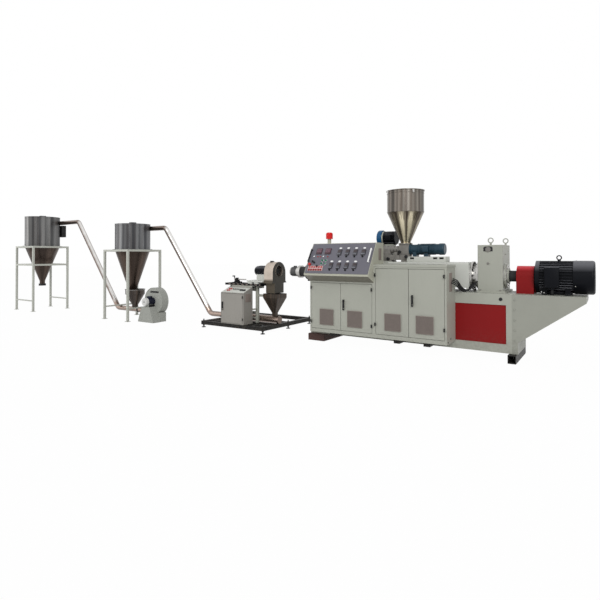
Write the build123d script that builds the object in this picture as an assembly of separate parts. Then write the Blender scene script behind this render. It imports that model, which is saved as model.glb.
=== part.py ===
"""A plastic pelletizing line: a conical twin-screw extruder on its bed, a die-face cutter unit on
floor beams, a cyclone with its feed bowl and blower, a storage silo, and the pipes that join them.

All sizes are in millimetres. While it is drawn, the line has x = 0 at the discharge end of the
extruder's cabinets and +X towards the drive motor. The screws, the die and the cutter share the axis
y = 0, z = AXIS_Z. The operator stands at -Y and the floor is z = 0. At the end everything moves so
that the origin is in the middle of the floor area.
"""
import os
from math import atan2, cos, degrees, hypot, pi, radians, sin, tan

from build123d import *

os.makedirs("parts", exist_ok=True)

# Gaps that hold everywhere
SEAT = 0.3
DOOR_GAP = 6.0
LEAF_GAP = 8.0
PIN_PLAY = 0.05

# Extruder: bed, skids and axis
AXIS_Z = 1255.0
BED_X0 = -280.0
BED_LENGTH = 3528.0
BED_WIDTH = 758.0
BED_Z0 = 120.0
BED_TOP = 1000.0
BED_POST = 77.0
BED_BAYS = 4
BED_TOP_RAIL = 166.0
BED_LOW_RAIL = 131.0
BED_SKIN = 12.0
PANEL_RECESS = 14.0
PANEL_T = 8.0
SKID_W = 112.0
SKID_LENGTH = 938.0
SKID_OVERHANG = 39.0
BLOCK_W = 350.0
BED_X1 = BED_X0 + BED_LENGTH
BED_Y = BED_WIDTH / 2

# Extruder cabinets on the operator side
CAB_DEPTH = 457.0
CAB_Z0 = 230.0
CAB_WALL = 12.0
CAB_FRAME = 30.0
CONSOLE_LENGTH = 1242.0
CONSOLE_TOP = 1130.0
MAIN_LENGTH = 1189.0
MAIN_TOP = 1434.0
LIP_H = 40.0
LIP_OUT = 8.0
CAB_FRONT = -BED_Y - CAB_DEPTH
MAIN_X1 = CONSOLE_LENGTH + MAIN_LENGTH
BEARER_X = (435.0, 1621.0, 2109.0)
BEARER_W = 100.0
BEARER_H = 62.0

# Doors
DOOR_T = 20.0
HINGE_OUT = 8.0
HINGE_BEYOND = 4.0
KNUCKLE_R = 7.0
KNUCKLE_H = 26.0
HINGE_PIN_R = 3.5
HINGE_LEAF_T = 3.0
HINGE_LEAF_W = 22.0
HANDLE_H = 180.0
HANDLE_W = 32.0
HANDLE_OUT = 24.0
LOUVRE_W = 262.0
LOUVRE_H = 262.0
LOUVRE_Z = 375.0
LOUVRE_SLATS = 9

# Operator console
DESK_LIP_Y = -1042.0
DESK_LIP_Z = 1236.0
DESK_LIP_T = 24.0
DESK_TOP_Y = -716.0
DESK_TOP_Z = 1796.0
DESK_BACK_Y = -440.0
PANEL_PLATE_T = 6.0
PANEL_BORDER = 12.0
BEACON_R = 62.0
BEACON_H = 118.0
BEACON_BASE_H = 84.0
BEACON_X = 258.0
BEACON_Y = -590.0

# Barrel, die and feed parts
BARREL_R = 100.0
BARREL_BIG_R = 140.0
DIE_R = 90.0
DIE_LENGTH = 200.0
DIE_FLANGE_R = 126.0
DIE_FLANGE_T = 66.0
DIE_TIP_X = -996.0
CLAMP_RING_R = 150.0
CLAMP_RING_X = -571.0
CLAMP_RING_T = 38.0
BAND_R = 122.0
BAND_W = 150.0
BAND_PITCH = 218.0
STAND_T = 24.0
FEED_X = 1140.0
FEED_W = 200.0
FEED_TOP = 1480.0
COVER_WIDTH = 500.0
COVER_Z0 = 1062.0
COVER_TOP = 1466.0
COVER_T = 6.0
COVER_LEG = 40.0
LANTERN_X = 2608.0
LANTERN_R = 225.0
LANTERN_LENGTH = 128.0

# Metering feeder and hopper
FEEDER_Z = 1685.0
FEEDER_R = 62.0
HOPPER_X = 1472.0
HOPPER_R = 318.0
HOPPER_WALL = 4.0
HOPPER_FLANGE_Z = 1790.0
HOPPER_NECK_R = 80.0
HOPPER_CONE_TOP = 2338.0
HOPPER_TOP = 2716.0
FEED_MOTOR_R = 98.0
FEED_MOTOR_X1 = 2168.0
FEED_PLATE_T = 24.0

# Vacuum pump behind the hopper
VAC_X = 835.0
VAC_Y = 300.0
VAC_Z = 1905.0
VAC_R = 118.0
VAC_LENGTH = 350.0
VAC_COVER_R = 150.0
VAC_COVER_T = 95.0

# Gearbox, coupling guard and drive motor
GEAR_X0 = 2736.0
GEAR_LENGTH = 366.0
GEAR_FRONT = -222.0
GEAR_TOP = 1739.0
INPUT_FLANGE_R = 185.0
INPUT_FLANGE_T = 62.0
GUARD_X0 = 3277.0
GUARD_LENGTH = 237.0
GUARD_HALF = 160.0
GUARD_T = 5.0
SHAFT_R = 38.0
MOTOR_X0 = 3535.0
MOTOR_X1 = 4282.0
MOTOR_R = 240.0
FIN_BELOW = 2.0
BELL_LENGTH = 56.0
COWL_LENGTH = 262.0
BRACKET_LENGTH = 937.0
BRACKET_END_H = 85.0
BRACKET_ROOT_Z = 290.0
BRACKET_PLATE = 12.0
TERMINAL_W = 190.0
TERMINAL_H = 300.0

# Die-face cutter unit
PEL_BEAM = 80.0
PEL_FOOT_H = 65.0
PEL_X0 = -3012.0
PEL_X1 = -1335.0
PEL_Y0 = -538.0
PEL_Y1 = 1180.0
PEL_MID_Y = -140.0
PEL_BACK_BEAM_Y = 339.0
PCAB_X0 = -2452.0
PCAB_WIDTH = 640.0
PCAB_DEPTH = 290.0
PCAB_TOP = 800.0
PCAB_BACK_H = 116.0
PCAB_SKIRT = 50.0
STAND_POST = 100.0
STAND_TOP = 940.0
STAND_BEAM = 60.0
RAIL_X0 = -2640.0
RAIL_LENGTH = 1015.0
RAIL_H = 45.0
RAIL_W = 40.0
RAIL_Y = (-230.0, 10.0)
SLIDER_H = 40.0
SLIDER_L = 110.0
SLIDER_SETBACK = 130.0
CARRIAGE_T = 30.0
CARRIAGE_LENGTH = 433.0
CARRIAGE_TRAVEL = 60.0
HOOD_X0 = -1552.0
HOOD_DEPTH = 230.0
HOOD_R = 270.0
HOOD_WALL = 4.0
HOOD_MOUTH_R = 136.0
CHUTE_HALF = 150.0
CHUTE_Z0 = 792.0
CUTTER_MOTOR_R = 105.0
CUTTER_MOTOR_LENGTH = 400.0
ROTOR_SHAFT_R = 22.0
ROTOR_HUB_R = 60.0
ROTOR_BLADES = 4
ROTOR_R = 118.0
FUNNEL_LENGTH = 380.0
FUNNEL_WIDTH = 330.0
FUNNEL_TOP = 778.0
FUNNEL_RIM = 86.0
FUNNEL_NECK_Z = 370.0
FUNNEL_NECK_R = 45.0
FUNNEL_WALL = 4.0

# Conveying pipes
PIPE_R = 60.0
PICKUP_R = 80.0
PIPE_WALL = 3.0
PIPE_BEND = 150.0

# Cyclone, feed bowl and blower
CYC_X = -5620.0
CYC_Y = -505.0
CYC_R = 425.0
CYC_CONE_TOP = 1743.0
CYC_TOP = 2385.0
CYC_CONE_Z0 = 725.0
CYC_NECK_R = 98.0
CYC_STAND_W = 947.0
TANK_WALL = 5.0
LEG = 50.0
BOWL_DX = 105.0
BOWL_R = 235.0
BOWL_TOP = 742.0
BOWL_RIM = 115.0
BOWL_NECK_R = 76.0
BOWL_NECK_Z = 350.0
DUCT_Z = 235.0
BLOWER_X = -4680.0
BLOWER_Z = 490.0
BLOWER_R = 325.0
BLOWER_W = 190.0
BLOWER_MOTOR_R = 85.0
BLOWER_MOTOR_LENGTH = 262.0

# Silo
SILO_X = -9674.0
SILO_Y = -748.0
SILO_R = 465.0
SILO_CONE_TOP = 1879.0
SILO_TOP = 2745.0
SILO_CONE_Z0 = 842.0
SILO_NECK_R = 72.0
SILO_STAND_W = 990.0
SILO_LOW_Z = 300.0
SILO_MID_Z = 1358.0
INLET_SETBACK = 66.0

nodes = {}


def block(x0, x1, y0, y1, z0, z1):
    """A rectangular block between two corners."""
    return Pos((x0 + x1) / 2, (y0 + y1) / 2, (z0 + z1) / 2) * Box(x1 - x0, y1 - y0, z1 - z0)


def rod_x(x0, x1, r, y=0.0, z=AXIS_Z):
    """A round bar along X."""
    return Pos((x0 + x1) / 2, y, z) * Rot(0, 90, 0) * Cylinder(r, x1 - x0)


def rod_y(y0, y1, r, x, z):
    """A round bar along Y."""
    return Pos(x, (y0 + y1) / 2, z) * Rot(90, 0, 0) * Cylinder(r, y1 - y0)


def rod_z(z0, z1, r, x, y):
    """A round bar along Z."""
    return Pos(x, y, (z0 + z1) / 2) * Cylinder(r, z1 - z0)


def prism_x(points, x0, x1):
    """An outline in the YZ plane, drawn out along X."""
    face = Plane.YZ * Polygon(*points, align=None)
    return Pos(x0, 0, 0) * extrude(face, amount=x1 - x0, dir=(1, 0, 0))


def prism_y(points, y0, y1):
    """An outline in the XZ plane, drawn out along Y."""
    face = Plane.XZ * Polygon(*points, align=None)
    return Pos(0, y0, 0) * extrude(face, amount=y1 - y0, dir=(0, 1, 0))


def turned(points, x=0.0, y=0.0):
    """An outline of (radius, height) points, turned about a vertical axis."""
    face = Plane.XZ * Polygon(*points, align=None)
    return Pos(x, y, 0) * revolve(face, Axis.Z)


def union(pieces):
    """All the pieces fused into one shape."""
    pieces = list(pieces)
    whole = pieces[0]
    for piece in pieces[1:]:
        whole = whole + piece
    return whole


def bed_frame():
    """The extruder's bed: a box of steel with a window for a panel in each bay, open below."""
    outer = block(BED_X0, BED_X1, -BED_Y, BED_Y, BED_Z0, BED_TOP)
    inner = block(BED_X0 + BED_POST, BED_X1 - BED_POST, -BED_Y + BED_POST, BED_Y - BED_POST,
                  BED_Z0, BED_TOP - BED_SKIN * 2)
    frame = outer - inner
    for x0, x1 in bay_spans():
        frame -= block(x0, x1, -BED_Y, BED_Y, BED_Z0 + BED_LOW_RAIL, BED_TOP - BED_TOP_RAIL)
    return frame


def bay_spans():
    """The x limits of the bed's window bays."""
    width = (BED_LENGTH - BED_POST * (BED_BAYS + 1)) / BED_BAYS
    starts = [BED_X0 + BED_POST + i * (width + BED_POST) for i in range(BED_BAYS)]
    return [(x, x + width) for x in starts]


def bed_panels():
    """Red sheet panels, set back in the bed's windows on both sides."""
    z0 = BED_Z0 + BED_LOW_RAIL + SEAT
    z1 = BED_TOP - BED_TOP_RAIL - SEAT
    plates = []
    for bay0, bay1 in bay_spans():
        x0 = bay0 + SEAT
        x1 = bay1 - SEAT
        front = -BED_Y + PANEL_RECESS
        back = BED_Y - PANEL_RECESS
        plates.append(block(x0, x1, front, front + PANEL_T, z0, z1))
        plates.append(block(x0, x1, back - PANEL_T, back, z0, z1))
    return Compound(children=plates)


def skid_and_bearers():
    """Square tube under the drive end of the bed, and the steel bearers under the cabinets."""
    x0 = BED_X1 - SKID_OVERHANG
    y1 = SKID_LENGTH / 2 - 41.0
    tube = block(x0, x0 + SKID_W, y1 - SKID_LENGTH, y1, 0, BED_Z0)
    wall = 8.0
    hole = block(x0 + wall, x0 + SKID_W - wall, y1 - SKID_LENGTH, y1, wall, BED_Z0 - wall)
    bars = [tube - hole]
    for x in BEARER_X:
        bars.append(block(x - BEARER_W / 2, x + BEARER_W / 2, CAB_FRONT + 40.0, -BED_Y,
                          CAB_Z0 - BEARER_H, CAB_Z0))
    return Compound(children=bars)


def timber_block():
    """Hardwood packer under the discharge end of the bed."""
    y1 = SKID_LENGTH / 2 - 41.0
    x0 = BED_X0 + 20.0
    return fillet(block(x0, x0 + BLOCK_W, y1 - SKID_LENGTH, y1, 0, BED_Z0).edges().filter_by(Axis.Z), 12.0)


def door_leaves(x0, x1, z0, z1):
    """The (x0, x1, z0, z1) of the left and right leaf in a cabinet front."""
    inner0 = x0 + CAB_FRAME + DOOR_GAP
    inner1 = x1 - CAB_FRAME - DOOR_GAP
    middle = (x0 + x1) / 2
    low = z0 + CAB_FRAME * 2 + DOOR_GAP
    high = z1 - CAB_FRAME + 4.0 - DOOR_GAP
    return ((inner0, middle - LEAF_GAP / 2, low, high), (middle + LEAF_GAP / 2, inner1, low, high))


def cabinet_shell(x0, x1, y0, y1, z0, z1, wall, leaves):
    """A sheet cabinet, open at the front where its leaves hang."""
    body = block(x0, x1, y0, y1, z0, z1)
    mouth0 = min(leaf[0] for leaf in leaves) - DOOR_GAP
    mouth1 = max(leaf[1] for leaf in leaves) + DOOR_GAP
    low = leaves[0][2] - DOOR_GAP
    high = leaves[0][3] + DOOR_GAP
    body -= block(x0 + wall, x1 - wall, y0 + DOOR_T * 2, y1 - wall, z0 + wall, z1 - wall)
    body -= block(mouth0, mouth1, y0, y0 + DOOR_T * 2, low, high)
    return body


def hinge_axis(leaf, side, front):
    """Where a leaf's hinge pin stands, for a leaf hung on its low-x (-1) or high-x (+1) edge."""
    edge = leaf[0] if side < 0 else leaf[1]
    return edge + side * HINGE_BEYOND, front - HINGE_OUT


def hinge_heights(leaf):
    """The heights of a leaf's two hinges."""
    rise = leaf[3] - leaf[2]
    return leaf[2] + rise * 0.15, leaf[3] - rise * 0.07 - KNUCKLE_H


def hinge_fixed(leaf, side, front):
    """The cabinet's half of each hinge: a leaf plate, the lower knuckle and the pin."""
    x, y = hinge_axis(leaf, side, front)
    halves = []
    for z in hinge_heights(leaf):
        edge = x - side * (HINGE_BEYOND - DOOR_GAP)
        far = edge + side * HINGE_LEAF_W
        plate = block(min(edge, far), max(edge, far), front - HINGE_LEAF_T, front, z - KNUCKLE_H, z)
        arm = block(min(x, far), max(x, far), y - HINGE_LEAF_T / 2, front - HINGE_LEAF_T / 2,
                    z - KNUCKLE_H, z)
        knuckle = rod_z(z - KNUCKLE_H, z, KNUCKLE_R, x, y)
        pin = rod_z(z, z + KNUCKLE_H - 2.0, HINGE_PIN_R, x, y)
        halves.append(plate + arm + knuckle + pin)
    return halves


def hinge_moving(leaf, side, front):
    """The door's half of each hinge: a leaf plate and the upper knuckle, bored for the pin."""
    x, y = hinge_axis(leaf, side, front)
    halves = []
    for z in hinge_heights(leaf):
        low = z + SEAT
        high = z + KNUCKLE_H
        near = x - side * HINGE_BEYOND
        far = near - side * HINGE_LEAF_W
        plate = block(min(near, far), max(near, far), front - HINGE_LEAF_T, front, low, high)
        arm = block(min(x, far), max(x, far), y - HINGE_LEAF_T / 2, front - HINGE_LEAF_T / 2, low, high)
        stop = block(min(x, near), max(x, near), y + KNUCKLE_R * 0.5, front, low, high)
        knuckle = rod_z(low, high, KNUCKLE_R, x, y)
        half = (plate + (arm - stop) + knuckle) - rod_z(low, high, HINGE_PIN_R + PIN_PLAY, x, y)
        halves.append(half)
    return halves


def louvre(x0, z0, front, width, height):
    """Pressed ventilation slats that stand out of a sheet."""
    pitch = height / LOUVRE_SLATS
    rise = pitch * 0.55
    out = 7.0
    slats = []
    for i in range(LOUVRE_SLATS):
        z = z0 + i * pitch + (pitch - rise) / 2
        section = [(front, z), (front - out, z), (front, z + rise)]
        slats.append(prism_x(section, x0, x0 + width))
    return slats


def door(leaf, side, front, handle):
    """One hollow-backed sheet leaf with its louvre, hinge halves and, on one leaf, the handle."""
    x0, x1, z0, z1 = leaf
    skin = 3.0
    panel = block(x0, x1, front, front + DOOR_T, z0, z1)
    panel -= block(x0 + skin, x1 - skin, front + skin, front + DOOR_T, z0 + skin, z1 - skin)
    middle = (x0 + x1) / 2 - side * 20.0
    panel = union([panel] + louvre(middle - LOUVRE_W / 2, LOUVRE_Z, front, LOUVRE_W, LOUVRE_H))
    pieces = [panel] + hinge_moving(leaf, side, front)
    if handle:
        pieces.append(door_handle(leaf, side, front))
    return union(pieces)


def door_handle(leaf, side, front, offset=62.0):
    """An upright swing handle on the free edge of a leaf."""
    free = leaf[0] if side > 0 else leaf[1]
    x = free + side * offset
    z = (leaf[2] + leaf[3]) / 2 + 40.0
    plate = block(x - HANDLE_W / 2, x + HANDLE_W / 2, front - 6.0, front, z - HANDLE_H / 2, z + HANDLE_H / 2)
    grip = block(x - HANDLE_W / 3, x + HANDLE_W / 3, front - HANDLE_OUT, front - 6.0,
                 z - HANDLE_H / 2 + 8.0, z + HANDLE_H / 2 - 8.0)
    return plate + fillet(grip.edges().group_by(Axis.Y)[0], 4.0)


CONSOLE_LEAVES = door_leaves(0.0, CONSOLE_LENGTH, CAB_Z0, CONSOLE_TOP)
MAIN_LEAVES = door_leaves(CONSOLE_LENGTH, MAIN_X1, CAB_Z0, MAIN_TOP - LIP_H)


def console_cabinet():
    """The console's lower cabinet with the fixed hinge halves."""
    body = cabinet_shell(0.0, CONSOLE_LENGTH, CAB_FRONT, -BED_Y, CAB_Z0, CONSOLE_TOP, CAB_WALL,
                         CONSOLE_LEAVES)
    hinges = hinge_fixed(CONSOLE_LEAVES[0], -1, CAB_FRONT) + hinge_fixed(CONSOLE_LEAVES[1], 1, CAB_FRONT)
    return union([body] + hinges)


def main_cabinet():
    """The main electrical cabinet with the fixed hinge halves and the end louvre."""
    body = cabinet_shell(CONSOLE_LENGTH, MAIN_X1, CAB_FRONT, -BED_Y, CAB_Z0, MAIN_TOP - LIP_H, CAB_WALL,
                         MAIN_LEAVES)
    hinges = hinge_fixed(MAIN_LEAVES[0], -1, CAB_FRONT) + hinge_fixed(MAIN_LEAVES[1], 1, CAB_FRONT)
    return union([body] + hinges)


def main_cabinet_lid():
    """The main cabinet's folded top, which stands a little proud of the doors."""
    lid = block(CONSOLE_LENGTH, MAIN_X1 + LIP_OUT, CAB_FRONT - LIP_OUT, -BED_Y, MAIN_TOP - LIP_H, MAIN_TOP)
    return fillet(lid.edges().group_by(Axis.Y)[0].filter_by(Axis.X), 6.0)


def desk_section():
    """The console's cross-section, from the chamfered underside to the sloped panel."""
    return [(CAB_FRONT, CONSOLE_TOP), (DESK_LIP_Y, DESK_LIP_Z), (DESK_LIP_Y, DESK_LIP_Z + DESK_LIP_T),
            (DESK_TOP_Y, DESK_TOP_Z), (DESK_BACK_Y, DESK_TOP_Z), (DESK_BACK_Y, MAIN_TOP),
            (-BED_Y, MAIN_TOP), (-BED_Y, CONSOLE_TOP)]


def console_desk():
    """The sloped console housing on top of its cabinet, with the beacon's foot."""
    foot = rod_z(DESK_TOP_Z, DESK_TOP_Z + BEACON_BASE_H, BEACON_R * 0.55, BEACON_X, BEACON_Y)
    return prism_x(desk_section(), 0.0, CONSOLE_LENGTH) + foot


def panel_frame():
    """A plane on the console's sloped face: x along the line, y up the slope."""
    rise = DESK_TOP_Z - DESK_LIP_Z - DESK_LIP_T
    run = DESK_TOP_Y - DESK_LIP_Y
    length = hypot(rise, run)
    foot = (0.0, DESK_LIP_Y, DESK_LIP_Z + DESK_LIP_T)
    return Plane(origin=foot, x_dir=(1, 0, 0), z_dir=(0, -rise / length, run / length)), length


def control_panel():
    """The blue-grey instrument plate on the slope."""
    plane, length = panel_frame()
    plate = Pos(CONSOLE_LENGTH / 2, length / 2, PANEL_PLATE_T / 2) * Box(
        CONSOLE_LENGTH - PANEL_BORDER * 2, length - PANEL_BORDER * 2, PANEL_PLATE_T)
    return plane * plate


def panel_controls():
    """Two rows of temperature controllers, two meters, the lamps, knobs, buttons and two grips."""
    plane, length = panel_frame()
    top = PANEL_PLATE_T
    pieces = []

    def put(u, v, shape, height):
        pieces.append(Pos(u, v, top + height / 2) * shape)

    for row, first in ((0.66, 640.0), (0.27, 560.0)):
        for i in range(4):
            u = first + i * 152.0
            put(u, length * row, Box(84.0, 118.0, 14.0), 14.0)
            put(u, length * row + 88.0, Cylinder(17.0, 10.0), 10.0)
    for i in range(2):
        put(190.0 + i * 185.0, length * 0.76, Box(120.0, 120.0, 16.0), 16.0)
    for i in range(3):
        put(150.0 + i * 110.0, length * 0.56, Cylinder(14.0, 22.0), 22.0)
    for i in range(2):
        for j in range(2):
            put(330.0 + i * 62.0, length * 0.36 + j * 62.0, Cylinder(20.0, 14.0), 14.0)
    for i in range(5):
        put(90.0 + i * 62.0, length * 0.14, Cylinder(19.0, 20.0), 20.0)
    for i in range(2):
        put(100.0 + i * 80.0, length * 0.30, Cylinder(22.0, 26.0), 26.0)
    for u in (34.0, CONSOLE_LENGTH - 34.0):
        put(u, length * 0.58, Box(18.0, 260.0, 30.0), 30.0)
    return plane * Compound(children=pieces)


def beacon_dome():
    """The red beacon."""
    z0 = DESK_TOP_Z + BEACON_BASE_H
    dome = rod_z(z0, z0 + BEACON_H, BEACON_R, BEACON_X, BEACON_Y)
    return fillet(dome.edges().group_by(Axis.Z)[-1], BEACON_R * 0.5)


def barrel():
    """The screw barrel, wider behind the feed opening, with its bolted end flange."""
    small = rod_x(DIE_TIP_X + DIE_LENGTH + DIE_FLANGE_T, FEED_X + FEED_W / 2, BARREL_R)
    large = rod_x(FEED_X + FEED_W / 2, LANTERN_X, BARREL_BIG_R)
    return small + large


def die_head():
    """The die: a stepped cylinder with a thick flange."""
    body = rod_x(DIE_TIP_X, DIE_TIP_X + DIE_LENGTH, DIE_R)
    flange = rod_x(DIE_TIP_X + DIE_LENGTH, DIE_TIP_X + DIE_LENGTH + DIE_FLANGE_T, DIE_FLANGE_R)
    tip = body.edges().filter_by(GeomType.CIRCLE).group_by(Axis.X)[0]
    return chamfer(tip, 10.0) + flange


def band_spans():
    """The x limits of the barrel's heater bands, clear of the clamp ring, the supports and the feed."""
    start = CLAMP_RING_X + CLAMP_RING_T / 2 + 30.0
    count = int((FEED_X - FEED_W / 2 - start) // BAND_PITCH)
    return [(start + i * BAND_PITCH, start + i * BAND_PITCH + BAND_W) for i in range(count)]


def heater_bands():
    """Heater bands round the barrel, and the clamp ring near the die."""
    x0 = CLAMP_RING_X - CLAMP_RING_T / 2
    x1 = CLAMP_RING_X + CLAMP_RING_T / 2
    bands = [rod_x(x0, x1, CLAMP_RING_R) - rod_x(x0, x1, BARREL_R + SEAT)]
    for x0, x1 in band_spans():
        bands.append(rod_x(x0, x1, BAND_R) - rod_x(x0, x1, BARREL_R + SEAT))
    return Compound(children=bands)


def barrel_stands():
    """Two stands that carry the barrel over the bed, and the feed casting round it."""
    stands = []
    spans = band_spans()
    for i in (1, len(spans) - 1):
        gap = BAND_PITCH - BAND_W
        x0 = spans[i][1] + (gap - STAND_T) / 2
        x1 = x0 + STAND_T
        web = block(x0, x1, -130.0, 130.0, BED_TOP, AXIS_Z) + rod_x(x0, x1, BAND_R + 12.0)
        stands.append(web - rod_x(x0, x1, BARREL_R + SEAT))
    x0 = FEED_X - FEED_W / 2
    x1 = FEED_X + FEED_W / 2
    casting = block(x0, x1, -150.0, 150.0, BED_TOP, FEED_TOP)
    stands.append(casting - rod_x(x0, x1, BARREL_R + SEAT))
    return Compound(children=stands)


def barrel_cover():
    """The sheet cover over the barrel, from the feed casting to the lantern."""
    x0 = FEED_X + FEED_W / 2 + 4.0
    half = COVER_WIDTH / 2
    shell = block(x0, LANTERN_X, -half, half, COVER_Z0, COVER_TOP)
    shell = fillet(shell.edges().filter_by(Axis.X).group_by(Axis.Z)[-1], 24.0)
    shell -= block(x0 + COVER_T, LANTERN_X - COVER_T, -half + COVER_T, half - COVER_T,
                   COVER_Z0, COVER_TOP - COVER_T * 3)
    slot = block(x0, LANTERN_X, -BARREL_BIG_R - SEAT, BARREL_BIG_R + SEAT, COVER_Z0, AXIS_Z)
    shell -= rod_x(x0, LANTERN_X, BARREL_BIG_R + SEAT) + slot
    for x in (x0, (x0 + LANTERN_X) / 2, LANTERN_X - COVER_LEG):
        for side in (-1, 1):
            y0, y1 = sorted((side * half, side * (half - COVER_LEG)))
            shell += block(x, x + COVER_LEG, y0, y1, BED_TOP, COVER_Z0 + COVER_LEG)
    return shell


def lantern():
    """The flanged lantern that bolts the barrel to the gearbox."""
    x1 = GEAR_X0
    x0 = x1 - LANTERN_LENGTH
    flange_t = 34.0
    body = rod_x(x0, x1, LANTERN_R * 0.72)
    return body + rod_x(x0, x0 + flange_t, LANTERN_R) + rod_x(x1 - flange_t, x1, LANTERN_R)


def feeder_housing():
    """The metering feeder: hopper throat, horizontal screw barrel and drop chute."""
    throat_w = 178.0
    top_flange = block(HOPPER_X - 89.0, HOPPER_X + 89.0, -110.0, 110.0,
                       HOPPER_FLANGE_Z - 16.0, HOPPER_FLANGE_Z)
    throat = block(HOPPER_X - throat_w / 2, HOPPER_X + throat_w / 2, -90.0, 90.0,
                   FEEDER_Z - FEEDER_R - 18.0, HOPPER_FLANGE_Z - 16.0)
    tube = rod_x(FEED_X - 80.0, HOPPER_X, FEEDER_R, z=FEEDER_Z)
    end_flange = rod_x(FEED_X - 98.0, FEED_X - 78.0, FEEDER_R + 30.0, z=FEEDER_Z)
    chute = block(FEED_X - 70.0, FEED_X + 70.0, -70.0, 70.0, FEED_TOP + 14.0, FEEDER_Z)
    chute_flange = block(FEED_X - 100.0, FEED_X + 100.0, -100.0, 100.0, FEED_TOP, FEED_TOP + 14.0)
    foot = block(HOPPER_X - 60.0, HOPPER_X + 60.0, -70.0, 70.0, COVER_TOP, FEEDER_Z - FEEDER_R - 18.0)
    body = union([top_flange, throat, tube, end_flange, chute, chute_flange, foot])
    return body - rod_z(FEEDER_Z, HOPPER_FLANGE_Z, HOPPER_NECK_R - HOPPER_WALL, HOPPER_X, 0.0)


def hopper():
    """The stainless hopper: a drum on a cone, with a bolted neck flange."""
    w = HOPPER_WALL
    outline = [(HOPPER_NECK_R - w, HOPPER_FLANGE_Z), (HOPPER_NECK_R + 26.0, HOPPER_FLANGE_Z),
               (HOPPER_NECK_R + 26.0, HOPPER_FLANGE_Z + 8.0), (HOPPER_NECK_R, HOPPER_FLANGE_Z + 8.0),
               (HOPPER_R, HOPPER_CONE_TOP), (HOPPER_R, HOPPER_TOP - 10.0), (HOPPER_R + 12.0, HOPPER_TOP - 10.0),
               (HOPPER_R + 12.0, HOPPER_TOP), (HOPPER_R - w, HOPPER_TOP), (HOPPER_R - w, HOPPER_CONE_TOP + 2.0),
               (HOPPER_NECK_R - w, HOPPER_FLANGE_Z + 10.0)]
    return turned(outline, HOPPER_X, 0.0)


def hopper_lid():
    """The hopper's lid, a shallow cone."""
    outline = [(0.0, HOPPER_TOP), (HOPPER_R + 14.0, HOPPER_TOP), (HOPPER_R + 14.0, HOPPER_TOP + 5.0),
               (0.0, HOPPER_TOP + 18.0)]
    return turned(outline, HOPPER_X, 0.0)


def feeder_drive():
    """The feeder's blue geared motor."""
    x0 = HOPPER_X + 90.0
    gear = rod_x(x0 + 14.0, x0 + 150.0, FEED_MOTOR_R * 0.86, z=FEEDER_Z)
    flange = rod_x(x0, x0 + 14.0, FEED_MOTOR_R, z=FEEDER_Z)
    body = rod_x(x0 + 150.0, FEED_MOTOR_X1 - 90.0, FEED_MOTOR_R * 0.92, z=FEEDER_Z)
    cowl = rod_x(FEED_MOTOR_X1 - 90.0, FEED_MOTOR_X1, FEED_MOTOR_R, z=FEEDER_Z)
    cowl = fillet(cowl.edges().filter_by(GeomType.CIRCLE).group_by(Axis.X)[-1], 20.0)
    foot = block(x0 + 60.0, x0 + 130.0, -70.0, 70.0, COVER_TOP + FEED_PLATE_T + 20.0, FEEDER_Z - 20.0)
    foot2 = block(x0 + 260.0, x0 + 330.0, -70.0, 70.0, COVER_TOP + FEED_PLATE_T + 20.0, FEEDER_Z - 20.0)
    return union([flange, gear, body, cowl, foot, foot2])


def feeder_plate():
    """The plate under the feeder's geared motor, on two bars."""
    x0 = HOPPER_X + 64.0
    x1 = FEED_MOTOR_X1 + 40.0
    z0 = COVER_TOP + 20.0
    plate = block(x0, x1, -105.0, 105.0, z0, z0 + FEED_PLATE_T)
    for x in (x0 + 30.0, x1 - 90.0):
        plate += block(x, x + 60.0, -105.0, 105.0, COVER_TOP, z0)
    return plate


def vacuum_motor():
    """The black finned motor of the vacuum pump."""
    body = rod_x(VAC_X + VAC_COVER_T, VAC_X + VAC_LENGTH, VAC_R, VAC_Y, VAC_Z)
    for i in range(10):
        a = radians(15.0 + i * 30.0)
        x0 = VAC_X + VAC_COVER_T + 20.0
        rib = Pos(0, VAC_Y, VAC_Z) * Rot(degrees(a), 0, 0) * block(
            x0, VAC_X + VAC_LENGTH - 20.0, VAC_R - 6.0, VAC_R + 10.0, -3.0, 3.0)
        body += rib
    return body


def vacuum_cover():
    """The blue end cover of the vacuum pump."""
    cover = rod_x(VAC_X, VAC_X + VAC_COVER_T, VAC_COVER_R, VAC_Y, VAC_Z)
    return fillet(cover.edges().filter_by(GeomType.CIRCLE), 18.0)


def vacuum_stand():
    """The stand that carries the vacuum pump over the bed."""
    x0 = VAC_X + VAC_COVER_T + 40.0
    x1 = VAC_X + VAC_LENGTH - 40.0
    y0 = VAC_Y - 60.0
    y1 = VAC_Y + 60.0
    column = block(x0, x1, y0, y1, BED_TOP, VAC_Z)
    column -= block(x0 + 10.0, x1 - 10.0, y0 + 10.0, y1 - 10.0, BED_TOP + 10.0, VAC_Z - VAC_R - 40.0)
    return column - rod_x(x0, x1, VAC_R + 10.0 + SEAT, VAC_Y, VAC_Z) + block(
        x0, x1, VAC_Y - 30.0, VAC_Y + 30.0, VAC_Z - VAC_R - 30.0, VAC_Z) - rod_x(
        x0, x1, VAC_R + 10.0 + SEAT, VAC_Y, VAC_Z)


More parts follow.
